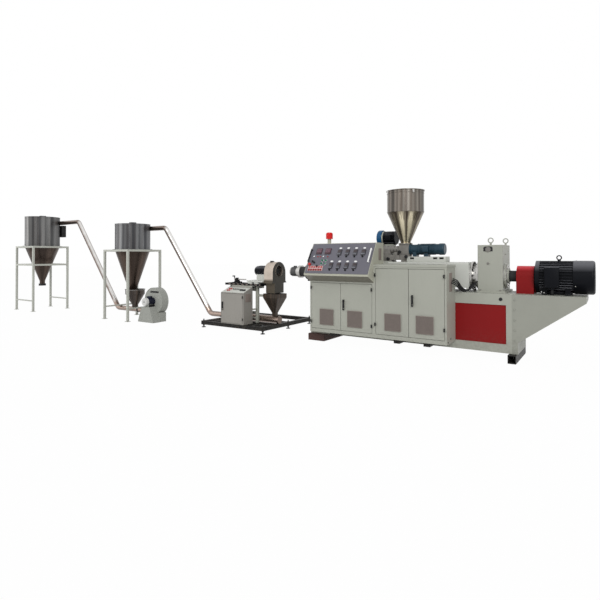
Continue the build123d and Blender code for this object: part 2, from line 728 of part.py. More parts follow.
def gearbox():
    """The gearbox housing with its base flange, lifting eyes and input flange."""
    x1 = GEAR_X0 + GEAR_LENGTH
    body = block(GEAR_X0, x1, GEAR_FRONT, BED_Y, BED_TOP + 30.0, GEAR_TOP)
    body = fillet(body.edges().filter_by(Axis.Z), 8.0)
    base = block(GEAR_X0 - 6.0, x1 + 40.0, GEAR_FRONT - 40.0, BED_Y, BED_TOP, BED_TOP + 30.0)
    flange = rod_x(x1, x1 + INPUT_FLANGE_T * 0.5, INPUT_FLANGE_R)
    boss = rod_x(x1, x1 + INPUT_FLANGE_T, INPUT_FLANGE_R * 0.6)
    return union([body, base, flange, boss] + lifting_eyes())


def lifting_eyes():
    """The gearbox's two ring eyes."""
    eyes = []
    for x, y in ((GEAR_X0 + 184.0, GEAR_FRONT + 60.0), (GEAR_X0 + GEAR_LENGTH - 40.0, BED_Y - 120.0)):
        ring = Pos(x, y, GEAR_TOP + 72.0) * Rot(90, 0, 0) * Torus(36.0, 8.0)
        eyes.append(ring + rod_z(GEAR_TOP, GEAR_TOP + 34.0, 16.0, x, y))
    return eyes


def coupling():
    """The motor's shaft and the coupling halves under the guard."""
    x0 = GEAR_X0 + GEAR_LENGTH + INPUT_FLANGE_T
    x1 = MOTOR_X0
    middle = (x0 + x1) / 2
    return rod_x(x0, x1, SHAFT_R) + rod_x(middle - 70.0, middle + 70.0, 110.0)


def arch(half, x0, x1):
    """A solid with an arched top round the drive axis, down to the bed's top."""
    return block(x0, x1, -half, half, BED_TOP, AXIS_Z) + rod_x(x0, x1, half)


def coupling_guard():
    """The red guard over the coupling: an arched sheet, open at its ends and below."""
    x1 = GUARD_X0 + GUARD_LENGTH
    inner = arch(GUARD_HALF - GUARD_T, GUARD_X0, x1) + block(
        GUARD_X0, x1, -GUARD_HALF + GUARD_T, GUARD_HALF - GUARD_T, BED_TOP, AXIS_Z)
    return arch(GUARD_HALF, GUARD_X0, x1) - inner


def motor_bracket():
    """The cantilever bracket that carries the drive motor: two tapered webs under a top plate."""
    x0 = BED_X1
    column = 82.0
    x1 = x0 + BRACKET_LENGTH
    root = x0 + column
    web = [(root, BRACKET_ROOT_Z), (root, BED_TOP), (x1, BED_TOP), (x1, BED_TOP - BRACKET_END_H)]
    solid = prism_y(web, -BED_Y, BED_Y)
    drop = BRACKET_PLATE
    inside = [(root, BRACKET_ROOT_Z - 400.0), (root, BED_TOP - drop), (x1 - drop, BED_TOP - drop),
              (x1 - drop, BRACKET_ROOT_Z - 400.0)]
    solid -= prism_y(inside, -BED_Y + drop, BED_Y - drop)
    return solid + block(x0, root, -BED_Y, BED_Y, BED_Z0, BED_TOP)


def motor_frame():
    """The drive motor's end bell, finned frame and feet."""
    z_foot = BED_TOP
    cowl_x = MOTOR_X1 - COWL_LENGTH
    bell = rod_x(MOTOR_X0, MOTOR_X0 + BELL_LENGTH, MOTOR_R)
    frame = rod_x(MOTOR_X0 + BELL_LENGTH, cowl_x, MOTOR_R - 24.0)
    fins = []
    count = 36
    for i in range(count):
        a = 360.0 * i / count
        if 235.0 < a < 305.0:
            continue
        fins.append(Pos(0, 0, AXIS_Z) * Rot(a, 0, 0) * block(
            MOTOR_X0 + BELL_LENGTH, cowl_x, MOTOR_R - 34.0, MOTOR_R - FIN_BELOW, -3.0, 3.0))
    feet = []
    for x in (MOTOR_X0 + BELL_LENGTH + 30.0, cowl_x - 100.0):
        for side in (-1, 1):
            y0, y1 = sorted((side * 110.0, side * 230.0))
            feet.append(block(x, x + 70.0, y0, y1, z_foot, z_foot + 24.0))
            y0, y1 = sorted((side * 120.0, side * 160.0))
            feet.append(block(x, x + 70.0, y0, y1, z_foot + 24.0, z_foot + 120.0))
    return union([bell, frame] + fins + feet)


def motor_cowl():
    """The smooth fan cowl on the motor's free end."""
    cowl = rod_x(MOTOR_X1 - COWL_LENGTH, MOTOR_X1, MOTOR_R + 2.0)
    ring = cowl.edges().filter_by(GeomType.CIRCLE).group_by(Axis.X)[-1]
    return fillet(ring, 34.0)


def terminal_box():
    """The terminal box on the operator side of the motor, with its arm."""
    x0 = MOTOR_X0 + 130.0
    reach = -MOTOR_R - 62.0
    z0 = AXIS_Z - TERMINAL_H / 2
    box = fillet(block(x0, x0 + TERMINAL_W, reach, -MOTOR_R + 6.0, z0, z0 + TERMINAL_H).edges(), 8.0)
    neck = block(x0 + 30.0, x0 + TERMINAL_W - 30.0, -MOTOR_R + 4.0, -100.0, z0 + 40.0, z0 + TERMINAL_H - 40.0)
    hole = rod_x(x0, x0 + TERMINAL_W, MOTOR_R - FIN_BELOW + SEAT)
    return (box + neck) - hole


def drive_motor():
    """The drive motor with its fan cowl and terminal box."""
    return Compound(children=[motor_frame(), motor_cowl(), terminal_box()])


nodes.update(
    bed_frame=bed_frame(), bed_panels=bed_panels(), skid_and_bearers=skid_and_bearers(), timber_block=timber_block(),
    console_cabinet=console_cabinet(), main_cabinet=main_cabinet(),
    main_cabinet_lid=main_cabinet_lid(), console_desk=console_desk(), control_panel=control_panel(),
    panel_controls=panel_controls(), beacon_dome=beacon_dome(),
    console_door_left=door(CONSOLE_LEAVES[0], -1, CAB_FRONT, False),
    console_door_right=door(CONSOLE_LEAVES[1], 1, CAB_FRONT, True),
    main_door_left=door(MAIN_LEAVES[0], -1, CAB_FRONT, False),
    main_door_right=door(MAIN_LEAVES[1], 1, CAB_FRONT, True),
    barrel=barrel(), die_head=die_head(), heater_bands=heater_bands(),
    barrel_stands=barrel_stands(), barrel_cover=barrel_cover(),
    lantern=lantern(), feeder_housing=feeder_housing(), hopper=hopper(),
    hopper_lid=hopper_lid(), feeder_drive=feeder_drive(), feeder_plate=feeder_plate(),
    vacuum_motor=vacuum_motor(), vacuum_cover=vacuum_cover(), vacuum_stand=vacuum_stand(),
    gearbox=gearbox(), coupling=coupling(), coupling_guard=coupling_guard(),
    motor_bracket=motor_bracket(), drive_motor=drive_motor())


PEL_TOP = PEL_FOOT_H + PEL_BEAM
FUNNEL_X = HOOD_X0 + HOOD_DEPTH / 2
PCAB_FRONT = PEL_Y0 - PEL_BEAM / 2
PCAB_X1 = PCAB_X0 + PCAB_WIDTH
PEL_LEAF = (PCAB_X0 + 16.0, PCAB_X1 - CAB_FRAME, PEL_TOP + 16.0, PCAB_TOP - 16.0)


def cutter_base():
    """Two long floor beams across the line, cross beams and levelling feet."""
    half = PEL_BEAM / 2
    beams = []
    for x in (PEL_X0, PEL_X1):
        beams.append(block(x - half, x + half, PEL_Y0 - half, PEL_Y1 + half, PEL_FOOT_H, PEL_TOP))
    for y in (PEL_Y0, PEL_Y0 + PCAB_DEPTH - PEL_BEAM, PEL_MID_Y, PEL_BACK_BEAM_Y, PEL_Y1):
        beams.append(block(PEL_X0, PEL_X1, y - half, y + half, PEL_FOOT_H, PEL_TOP))
    for x in (PEL_X0, PEL_X1):
        for y in (PEL_Y0, PEL_BACK_BEAM_Y, PEL_Y1):
            beams.append(rod_z(12.0, PEL_FOOT_H, 14.0, x, y))
            beams.append(rod_z(0.0, 12.0, 45.0, x, y))
    return union(beams)


def cutter_cabinet():
    """The cutter unit's cabinet, with a sloped top and a skirt before the front beam."""
    y0 = PCAB_FRONT
    y1 = y0 + PCAB_DEPTH
    top_z = PCAB_TOP + PCAB_BACK_H
    section = [(y0, PEL_TOP), (y0, PCAB_TOP), (y1, top_z), (y1, PEL_TOP)]
    body = prism_x(section, PCAB_X0, PCAB_X1)
    w = CAB_WALL
    body -= block(PCAB_X0 + w, PCAB_X1 - w, y0 + DOOR_T * 2, y1 - w, PEL_TOP + w, PCAB_TOP - w)
    x0, x1, z0, z1 = PEL_LEAF
    body -= block(x0 - DOOR_GAP, x1 + DOOR_GAP, y0, y0 + DOOR_T * 2, z0 - DOOR_GAP, z1 + DOOR_GAP)
    return union([body] + hinge_fixed(PEL_LEAF, 1, y0))


def cutter_door():
    """The cutter cabinet's single door."""
    x0, x1, z0, z1 = PEL_LEAF
    skin = 3.0
    front = PCAB_FRONT
    panel = block(x0, x1, front, front + DOOR_T, z0, z1)
    panel -= block(x0 + skin, x1 - skin, front + skin, front + DOOR_T, z0 + skin, z1 - skin)
    return union([panel, door_handle(PEL_LEAF, 1, front, 34.0)] + hinge_moving(PEL_LEAF, 1, front))


def cutter_stand():
    """Rear posts, the side beams that carry the slide rails, and the funnel's arm."""
    y0 = PEL_MID_Y - STAND_POST / 2
    y1 = PEL_MID_Y + STAND_POST / 2
    y_cab = PCAB_FRONT + PCAB_DEPTH
    y_end = RAIL_Y[1] + RAIL_W
    pieces = []
    for x0 in (PCAB_X0, PCAB_X1 - STAND_POST):
        x1 = x0 + STAND_POST
        pieces.append(block(x0, x1, y0, y1, PEL_TOP, STAND_TOP - STAND_BEAM))
        pieces.append(block(x0, x1, y_cab, y_end, STAND_TOP - STAND_BEAM, STAND_TOP))
        pieces.append(block(x0 + 35.0, x0 + 65.0, y_cab, y0, 430.0, 460.0))
        pieces.append(block(x0, x1, y_cab - 20.0, y_cab, PCAB_TOP + PCAB_BACK_H, STAND_TOP))
    pieces.append(block(PCAB_X0, PCAB_X1, y1 - 30.0, y1, STAND_TOP - STAND_BEAM * 2, STAND_TOP - STAND_BEAM))
    funnel_x = FUNNEL_X - FUNNEL_LENGTH / 2
    pieces.append(block(PCAB_X1 - 30.0, funnel_x, y1 - 40.0, y1, FUNNEL_TOP - 70.0, FUNNEL_TOP - 20.0))
    return union(pieces)


def slide_rails():
    """Two dark rails along the line, on the stand, with stop blocks and the screw's bearing block."""
    x1 = RAIL_X0 + RAIL_LENGTH
    pieces = []
    for y in RAIL_Y:
        pieces.append(block(RAIL_X0, x1, y - RAIL_W / 2, y + RAIL_W / 2, STAND_TOP, STAND_TOP + RAIL_H))
    for x in (RAIL_X0, x1 - 30.0):
        pieces.append(block(x, x + 30.0, RAIL_Y[0], RAIL_Y[1], STAND_TOP, STAND_TOP + RAIL_H))
    return union(pieces + [screw_block()])


RAIL_TOP = STAND_TOP + RAIL_H
PLATE_Z0 = RAIL_TOP + SEAT + SLIDER_H
PLATE_Z1 = PLATE_Z0 + CARRIAGE_T


def carriage():
    """The light carriage plate on four slider blocks, with the motor's pedestal."""
    x1 = HOOD_X0
    x0 = x1 - CARRIAGE_LENGTH
    y0 = RAIL_Y[0] - 50.0
    y1 = RAIL_Y[1] + 150.0
    plate = block(x0, x1, y0, y1, PLATE_Z0, PLATE_Z1)
    pieces = [plate]
    for y in RAIL_Y:
        for x in (x0 + 20.0, x1 - SLIDER_L - SLIDER_SETBACK):
            pieces.append(block(x, x + SLIDER_L, y - 34.0, y + 34.0, RAIL_TOP + SEAT, PLATE_Z0))
    pedestal = block(x1 - 320.0, x1 - 80.0, -80.0, 80.0, PLATE_Z1, AXIS_Z)
    pieces.append(pedestal - rod_x(x1 - 330.0, x1 - 70.0, CUTTER_MOTOR_R + SEAT))
    return union(pieces)


def cutter_motor():
    """The cutter's dark motor with a domed end."""
    x1 = HOOD_X0
    x0 = x1 - CUTTER_MOTOR_LENGTH
    body = rod_x(x0, x1, CUTTER_MOTOR_R)
    body = fillet(body.edges().filter_by(GeomType.CIRCLE).group_by(Axis.X)[0], 70.0)
    return body - rod_x(x1 - 60.0, x1, ROTOR_SHAFT_R + PIN_PLAY)


def hood_outline(r, half, x0, x1, z0):
    """A drum that runs down into a square chute."""
    return rod_x(x0, x1, r) + block(x0, x1, -half, half, z0, AXIS_Z)


def cutter_hood():
    """The stainless hood: a flat drum round the cutter, open at the mouth and at the chute."""
    x1 = HOOD_X0 + HOOD_DEPTH
    w = HOOD_WALL
    shell = hood_outline(HOOD_R, CHUTE_HALF, HOOD_X0, x1, CHUTE_Z0)
    shell -= hood_outline(HOOD_R - w, CHUTE_HALF - w, HOOD_X0 + w, x1 - w, CHUTE_Z0)
    shell -= rod_x(x1 - w, x1, HOOD_MOUTH_R)
    return shell - rod_x(HOOD_X0, HOOD_X0 + w, ROTOR_SHAFT_R + 5.0)


def cutter_rotor():
    """The knife rotor: shaft, hub and blades."""
    x0 = HOOD_X0 - 50.0
    hub_x = HOOD_X0 + HOOD_DEPTH - 70.0
    shaft = rod_x(x0, hub_x, ROTOR_SHAFT_R)
    hub = rod_x(hub_x, hub_x + 40.0, ROTOR_HUB_R)
    pieces = [shaft, hub]
    for i in range(ROTOR_BLADES):
        blade = block(hub_x + 8.0, hub_x + 34.0, ROTOR_HUB_R - 8.0, ROTOR_R, -9.0, 9.0)
        pieces.append(Pos(0, 0, AXIS_Z) * Rot(360.0 * i / ROTOR_BLADES, 0, 0) * blade)
    return union(pieces)


def funnel_solid(inset, z0, z1):
    """A square mouth that tapers to a round neck."""
    width = FUNNEL_LENGTH - inset * 2
    depth = FUNNEL_WIDTH - inset * 2
    shoulder = FUNNEL_TOP - FUNNEL_RIM
    mouth = Pos(FUNNEL_X, 0, shoulder) * Rectangle(width, depth)
    neck = Pos(FUNNEL_X, 0, FUNNEL_NECK_Z) * Rectangle(FUNNEL_NECK_R * 2 - inset * 2, FUNNEL_NECK_R * 2 - inset * 2)
    taper = loft([neck, mouth])
    rim = Pos(FUNNEL_X, 0, (shoulder + z1) / 2) * Box(width, depth, z1 - shoulder)
    stub = block(FUNNEL_X - FUNNEL_NECK_R + inset, FUNNEL_X + FUNNEL_NECK_R - inset,
                 -FUNNEL_NECK_R + inset, FUNNEL_NECK_R - inset, z0, FUNNEL_NECK_Z)
    return union([taper, rim, stub])


PICKUP_Z = PEL_TOP + PICKUP_R + SEAT


def granule_funnel():
    """The stainless funnel under the chute."""
    low = PICKUP_Z + PICKUP_R + SEAT
    return funnel_solid(0.0, low, FUNNEL_TOP) - funnel_solid(FUNNEL_WALL, low, FUNNEL_TOP)


def screw_block():
    """The bearing block of the carriage's screw, across the rails."""
    x = RAIL_X0 + 230.0
    y = (RAIL_Y[0] + RAIL_Y[1]) / 2
    cross = block(x - 25.0, x + 25.0, RAIL_Y[0] - RAIL_W / 2, RAIL_Y[1] + RAIL_W / 2, RAIL_TOP, RAIL_TOP + 20.0)
    section = [(y - 80.0, RAIL_TOP + 20.0), (y + 80.0, RAIL_TOP + 20.0), (y + 24.0, RAIL_TOP + 110.0),
               (y - 24.0, RAIL_TOP + 110.0)]
    return cross + prism_x(section, x - 20.0, x + 20.0)


nodes.update(
    cutter_base=cutter_base(), cutter_cabinet=cutter_cabinet(), cutter_door=cutter_door(),
    cutter_stand=cutter_stand(), slide_rails=slide_rails(), carriage=carriage(),
    cutter_motor=cutter_motor(), cutter_hood=cutter_hood(), cutter_rotor=cutter_rotor(),
    granule_funnel=granule_funnel())


def swept_pipe(points, radius, bend):
    """A pipe of straight runs joined by arcs."""
    path = FilletPolyline(*points, radius=bend)
    start = Plane(origin=path @ 0, z_dir=path % 0)
    return sweep(start * Circle(radius), path=path)


CYC_INLET_Y = CYC_Y + CYC_R - INLET_SETBACK
CYC_INLET_Z = CYC_TOP - 95.0
SILO_INLET_Y = SILO_Y + SILO_R - INLET_SETBACK
SILO_INLET_Z = SILO_TOP - 155.0
PIPE1_LOW_X = -3340.0
PIPE1_HIGH_X = -4790.0
PIPE2_LOW_X = -6215.0
PIPE2_HIGH_X = -8400.0
BLOWER_OUT_X = BLOWER_X - 260.0


def pickup_tube():
    """The wide pickup tube under the funnel, with a reducer to the conveying pipe."""
    x1 = FUNNEL_X + 130.0
    x0 = PCAB_X0 + 150.0
    tube = rod_x(x0, x1, PICKUP_R, 0.0, PICKUP_Z)
    reducer = Pos(x0 - 60.0, 0, PICKUP_Z) * Rot(0, 90, 0) * Cone(PIPE_R, PICKUP_R, 120.0)
    return tube + reducer


def cyclone_pipe():
    """The conveying pipe from the cutter unit up to the cyclone's inlet."""
    x0 = PCAB_X0 + 32.0
    points = [(x0, 0.0, PICKUP_Z), (PIPE1_LOW_X, 0.0, PICKUP_Z), (PIPE1_HIGH_X, CYC_INLET_Y, CYC_INLET_Z),
              (CYC_X + 150.0, CYC_INLET_Y, CYC_INLET_Z)]
    pipe = swept_pipe(points, PIPE_R, PIPE_BEND) + pickup_tube()
    return pipe - rod_z(
        CYC_INLET_Z - PIPE_R * 2, CYC_INLET_Z + PIPE_R * 2, CYC_R + SEAT, CYC_X, CYC_Y)


def silo_pipe():
    """The conveying pipe from the blower, past the feed bowl and up to the silo's inlet."""
    points = [(BLOWER_OUT_X, CYC_Y, DUCT_Z), (PIPE2_LOW_X, CYC_Y, DUCT_Z),
              (PIPE2_HIGH_X, SILO_INLET_Y, SILO_INLET_Z), (SILO_X + 150.0, SILO_INLET_Y, SILO_INLET_Z)]
    return swept_pipe(points, PIPE_R, PIPE_BEND) - rod_z(
        SILO_INLET_Z - PIPE_R * 2, SILO_INLET_Z + PIPE_R * 2, SILO_R + SEAT, SILO_X, SILO_Y)


def vessel(r, z0, z_cone, z1, neck_r, neck_h, x, y):
    """A drum on a cone with a seat ring at the joint and a neck below, open at both ends."""
    w = TANK_WALL
    ring = 58.0
    outline = [(neck_r - w, z0 - neck_h), (neck_r, z0 - neck_h), (neck_r, z0), (r, z_cone - 6.0),
               (r, z_cone), (r + ring, z_cone), (r + ring, z_cone + 8.0), (r, z_cone + 8.0), (r, z1),
               (r - w, z1), (r - w, z_cone), (neck_r - w, z0)]
    return turned(outline, x, y)


def roof(r, z1, boss_r, boss_h, x, y):
    """A shallow roof with its central boss."""
    rise = 22.0
    outline = [(0.0, z1), (r + 8.0, z1), (r + 8.0, z1 + 6.0), (boss_r, z1 + rise), (boss_r, z1 + rise + boss_h),
               (0.0, z1 + rise + boss_h)]
    return turned(outline, x, y)


def stand(width, top, x, y, low_sides, mid_z, low_z):
    """Four square legs with foot plates, a top frame and braces."""
    half = width / 2
    t = LEG / 2
    pieces = []
    for sx in (-1, 1):
        for sy in (-1, 1):
            px = x + sx * half
            py = y + sy * half
            pieces.append(block(px - t, px + t, py - t, py + t, 8.0, top))
            pieces.append(block(px - 50.0, px + 50.0, py - 50.0, py + 50.0, 0.0, 8.0))
    rings = [top - LEG]
    if mid_z:
        rings.append(mid_z - LEG)
    for z in rings:
        for s in (-1, 1):
            pieces.append(block(x - half, x + half, y + s * half - t, y + s * half + t, z, z + LEG))
            pieces.append(block(x + s * half - t, x + s * half + t, y - half, y + half, z, z + LEG))
    for s in (-1, 1):
        if low_sides:
            pieces.append(block(x + s * half - t, x + s * half + t, y - half, y + half, low_z, low_z + 30.0))
        else:
            pieces.append(block(x - half, x + half, y + s * half - t, y + s * half + t, low_z, low_z + 30.0))
    return union(pieces)


def feed_bowl():
    """The open bowl under the cyclone that feeds the silo's pipe."""
    w = FUNNEL_WALL
    low = DUCT_Z + PIPE_R + SEAT
    shoulder = BOWL_TOP - BOWL_RIM
    outline = [(BOWL_NECK_R - w, low), (BOWL_NECK_R, low), (BOWL_NECK_R, BOWL_NECK_Z), (BOWL_R, shoulder),
               (BOWL_R, BOWL_TOP - 10.0), (BOWL_R + 12.0, BOWL_TOP - 10.0), (BOWL_R + 12.0, BOWL_TOP),
               (BOWL_R - w, BOWL_TOP), (BOWL_R - w, shoulder + 2.0), (BOWL_NECK_R - w, BOWL_NECK_Z + 2.0)]
    return turned(outline, CYC_X + BOWL_DX, CYC_Y)


def blower_housing():
    """The blower's scroll housing and its outlet."""
    y0 = CYC_Y - BLOWER_W / 2
    y1 = CYC_Y + BLOWER_W / 2
    drum = rod_y(y0, y1, BLOWER_R, BLOWER_X, BLOWER_Z)
    out_h = 75.0
    outlet = block(BLOWER_OUT_X, BLOWER_X, CYC_Y - out_h, CYC_Y + out_h, DUCT_Z - out_h, DUCT_Z + out_h)
    return drum + outlet


def blower_pedestal():
    """The blower's tapered sheet pedestal."""
    y0 = CYC_Y - BLOWER_W / 2 - 210.0
    y1 = CYC_Y - BLOWER_W / 2
    top = BLOWER_Z - BLOWER_MOTOR_R - 40.0
    section = [(BLOWER_X - 300.0, 0.0), (BLOWER_X + 260.0, 0.0), (BLOWER_X + 260.0, 12.0), (BLOWER_X + 130.0, top),
               (BLOWER_X - 170.0, top), (BLOWER_X - 300.0, 12.0)]
    saddle = block(BLOWER_X - 60.0, BLOWER_X + 60.0, y0 + 30.0, y1 - 60.0, top, BLOWER_Z)
    saddle -= rod_y(y0, y1, BLOWER_MOTOR_R + SEAT, BLOWER_X, BLOWER_Z)
    feet = block(BLOWER_X + 20.0, BLOWER_X + 240.0, y1, y1 + BLOWER_W, 0.0, BLOWER_Z - BLOWER_R + 60.0)
    feet -= rod_y(y1, y1 + BLOWER_W, BLOWER_R + SEAT, BLOWER_X, BLOWER_Z)
    return union([prism_y(section, y0, y1), saddle, feet])


def blower_motor():
    """The blower's motor with its pale fan cover."""
    y1 = CYC_Y - BLOWER_W / 2
    y0 = y1 - BLOWER_MOTOR_LENGTH
    body = rod_y(y0, y1, BLOWER_MOTOR_R, BLOWER_X, BLOWER_Z)
    return fillet(body.edges().filter_by(GeomType.CIRCLE).group_by(Axis.Y)[0], 16.0)


def silo_fittings():
    """The dark gate ring on the silo's neck and the control box on its back."""
    z0 = SILO_CONE_Z0 - 140.0
    gate = rod_z(z0, z0 + 60.0, SILO_NECK_R + 24.0, SILO_X, SILO_Y)
    gate -= rod_z(z0, z0 + 60.0, SILO_NECK_R + SEAT, SILO_X, SILO_Y)
    y0 = SILO_Y + SILO_R - 14.0
    x0 = SILO_X + 30.0
    box = block(x0, x0 + 220.0, y0, y0 + 130.0, 2168.0, 2520.0)
    box -= rod_z(2100.0, 2600.0, SILO_R + SEAT, SILO_X, SILO_Y)
    return Compound(children=[gate, box])


nodes.update(
    cyclone_pipe=cyclone_pipe(), silo_pipe=silo_pipe(),
    cyclone_body=vessel(CYC_R, CYC_CONE_Z0, CYC_CONE_TOP, CYC_TOP, CYC_NECK_R, 20.0, CYC_X, CYC_Y),
    cyclone_roof=roof(CYC_R, CYC_TOP, 88.0, 34.0, CYC_X, CYC_Y),
    cyclone_stand=stand(CYC_STAND_W, CYC_CONE_TOP, CYC_X, CYC_Y, True, 0.0, DUCT_Z + PIPE_R + SEAT),
    feed_bowl=feed_bowl(), blower_housing=blower_housing(), blower_pedestal=blower_pedestal(),
    blower_motor=blower_motor(),
    silo_body=vessel(SILO_R, SILO_CONE_Z0, SILO_CONE_TOP, SILO_TOP, SILO_NECK_R, 140.0, SILO_X, SILO_Y),
    silo_roof=roof(SILO_R, SILO_TOP, 92.0, 30.0, SILO_X, SILO_Y),
    silo_stand=stand(SILO_STAND_W, SILO_CONE_TOP, SILO_X, SILO_Y, False, SILO_MID_Z, SILO_LOW_Z - 15.0),
    silo_fittings=silo_fittings())

boxes = [shape.bounding_box() for shape in nodes.values()]
middle_x = (min(b.min.X for b in boxes) + max(b.max.X for b in boxes)) / 2
middle_y = (min(b.min.Y for b in boxes) + max(b.max.Y for b in boxes)) / 2
for name, shape in nodes.items():
    export_step(Pos(-middle_x, -middle_y, 0) * shape, f"parts/{name}.step")
print("nodes", len(nodes), "shift", round(-middle_x, 3), round(-middle_y, 3))
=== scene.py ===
"""Dresses the plastic pelletizing line: materials for every CAD node, the small fittings, the instruments,
the floor, the lamps and the camera. Everything is in metres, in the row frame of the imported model."""

from math import cos, pi, radians, sin, sqrt

import bmesh
import bpy
from mathutils import Matrix, Vector


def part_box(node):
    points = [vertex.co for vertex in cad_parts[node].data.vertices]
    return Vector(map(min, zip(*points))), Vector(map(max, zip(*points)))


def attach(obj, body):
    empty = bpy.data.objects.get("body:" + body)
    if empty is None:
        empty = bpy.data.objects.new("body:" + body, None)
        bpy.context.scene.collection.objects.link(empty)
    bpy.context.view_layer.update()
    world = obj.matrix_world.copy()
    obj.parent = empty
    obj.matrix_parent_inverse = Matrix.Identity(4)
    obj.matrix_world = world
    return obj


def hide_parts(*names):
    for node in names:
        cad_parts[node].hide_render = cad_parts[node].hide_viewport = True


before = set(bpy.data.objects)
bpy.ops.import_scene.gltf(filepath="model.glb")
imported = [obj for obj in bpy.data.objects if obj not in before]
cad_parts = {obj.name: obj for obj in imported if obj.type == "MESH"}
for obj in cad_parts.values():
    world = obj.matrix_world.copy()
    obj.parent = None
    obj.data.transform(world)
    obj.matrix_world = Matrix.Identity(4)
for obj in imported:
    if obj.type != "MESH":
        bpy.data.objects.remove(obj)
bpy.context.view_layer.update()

# Places that several pieces share, read from the frame
LINE = "line"
CARRIAGE = "cutter_carriage"
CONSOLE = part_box("console_cabinet")
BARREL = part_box("barrel")
AXIS_Y = (BARREL[0][1] + BARREL[1][1]) / 2
AXIS_Z = (BARREL[0][2] + BARREL[1][2]) / 2
LINE_ORIGIN = Vector((CONSOLE[0][0], AXIS_Y, 0.0))

# Heights at which the drum of each vessel meets its cone
SILO_RING = 1.879
CYCLONE_RING = 1.743
HOPPER_RING = 2.338


def middle(node):
    """The middle of a node's box, seen from above."""
    low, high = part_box(node)
    return (low[0] + high[0]) / 2, (low[1] + high[1]) / 2


def tint(colour, factor=1.0):
    """A colour made darker or lighter, with full alpha."""
    return tuple(min(1.0, c * factor) for c in colour[:3]) + (1.0,)


class Nodes:
    """A node tree under construction, with short calls for its nodes."""

    def __init__(self, tree):
        self.tree = tree

    def add(self, kind, settings=None, **inputs):
        """A node, with its settings and its inputs as numbers or sockets."""
        node = self.tree.nodes.new(kind)
        for key, value in (settings or {}).items():
            setattr(node, key, value)
        for key, value in inputs.items():
            self.feed(node.inputs[key.replace("_", " ")], value)
        return node

    def feed(self, socket, value):
        """A number, colour or link into a socket."""
        if isinstance(value, bpy.types.NodeSocket):
            self.tree.links.new(value, socket)
        else:
            socket.default_value = value

    def maths(self, operation, a, b=0.0):
        """The result of a Math node."""
        node = self.add("ShaderNodeMath", {"operation": operation})
        self.feed(node.inputs[0], a)
        self.feed(node.inputs[1], b)
        return node.outputs[0]

    def span(self, value, low, high, out_low=0.0, out_high=1.0):
        """A value from low..high onto out_low..out_high, clamped."""
        return self.add("ShaderNodeMapRange", Value=value, From_Min=low, From_Max=high, To_Min=out_low,
                        To_Max=out_high).outputs[0]


class Shader(Nodes):
    """A material under construction."""

    def __init__(self, name, metal=0.0, gloss=0.5):
        self.mat = bpy.data.materials.new(name)
        self.mat.use_nodes = True
        super().__init__(self.mat.node_tree)
        self.bsdf = self.tree.nodes["Principled BSDF"]
        self.bsdf.inputs["Metallic"].default_value = metal
        self.bsdf.inputs["Specular IOR Level"].default_value = gloss
        self.place = self.add("ShaderNodeTexCoord").outputs["Object"]

    def mix(self, factor, a, b):
        """A colour between two colours."""
        node = self.add("ShaderNodeMix", {"data_type": "RGBA"})
        self.feed(node.inputs[0], factor)
        for socket, value in ((node.inputs[6], a), (node.inputs[7], b)):
            self.feed(socket, tint(value) if isinstance(value, tuple) else value)
        return node.outputs[2]

    def noise(self, scale, detail, stretch=(1.0, 1.0, 1.0), place=None):
        """Noise from 0 to 1 over the piece, stretched along its axes."""
        mapping = self.add("ShaderNodeMapping", Vector=place or self.place, Scale=stretch)
        node = self.add("ShaderNodeTexNoise", Vector=mapping.outputs[0], Scale=scale, Detail=detail)
        return node.outputs["Fac"]

    def drift(self, amount, *noise):
        """Noise about zero, from minus half the amount to half of it."""
        return self.maths("MULTIPLY", self.maths("SUBTRACT", self.noise(*noise), 0.5), amount)

    def steps(self, value, stops):
        """A value looked up on a line of (place, tone) stops."""
        ramp = self.add("ShaderNodeValToRGB", Fac=value)
        elements = ramp.color_ramp.elements
        while len(elements) < len(stops):
            elements.new(0.5)
        for element, (place, tone) in zip(elements, stops):
            element.position = place
            element.color = (tone, tone, tone, 1.0)
        return ramp.outputs["Color"]

    def axis(self, name, place=None):
        """One coordinate of the place."""
        return self.add("ShaderNodeSeparateXYZ", Vector=place or self.place).outputs[name]

    def facing(self, name):
        """One coordinate of the direction that the surface faces."""
        return self.axis(name, self.add("ShaderNodeNewGeometry").outputs["Normal"])

    def finish(self, colour, rough, wear, peel, strength, distance):
        """The material, with its colour, a roughness that wears between two values, and fine bumps."""
        self.feed(self.bsdf.inputs["Base Color"], colour)
        self.feed(self.bsdf.inputs["Roughness"], self.span(self.noise(*wear), 0.3, 0.7, *rough))
        bumps = self.add("ShaderNodeBump", Height=self.noise(*peel), Strength=strength, Distance=distance)
        self.feed(self.bsdf.inputs["Normal"], bumps.outputs[0])
        return self.mat


GRIME_TOP = 0.5
GRIME = (0.1, 0.085, 0.065)


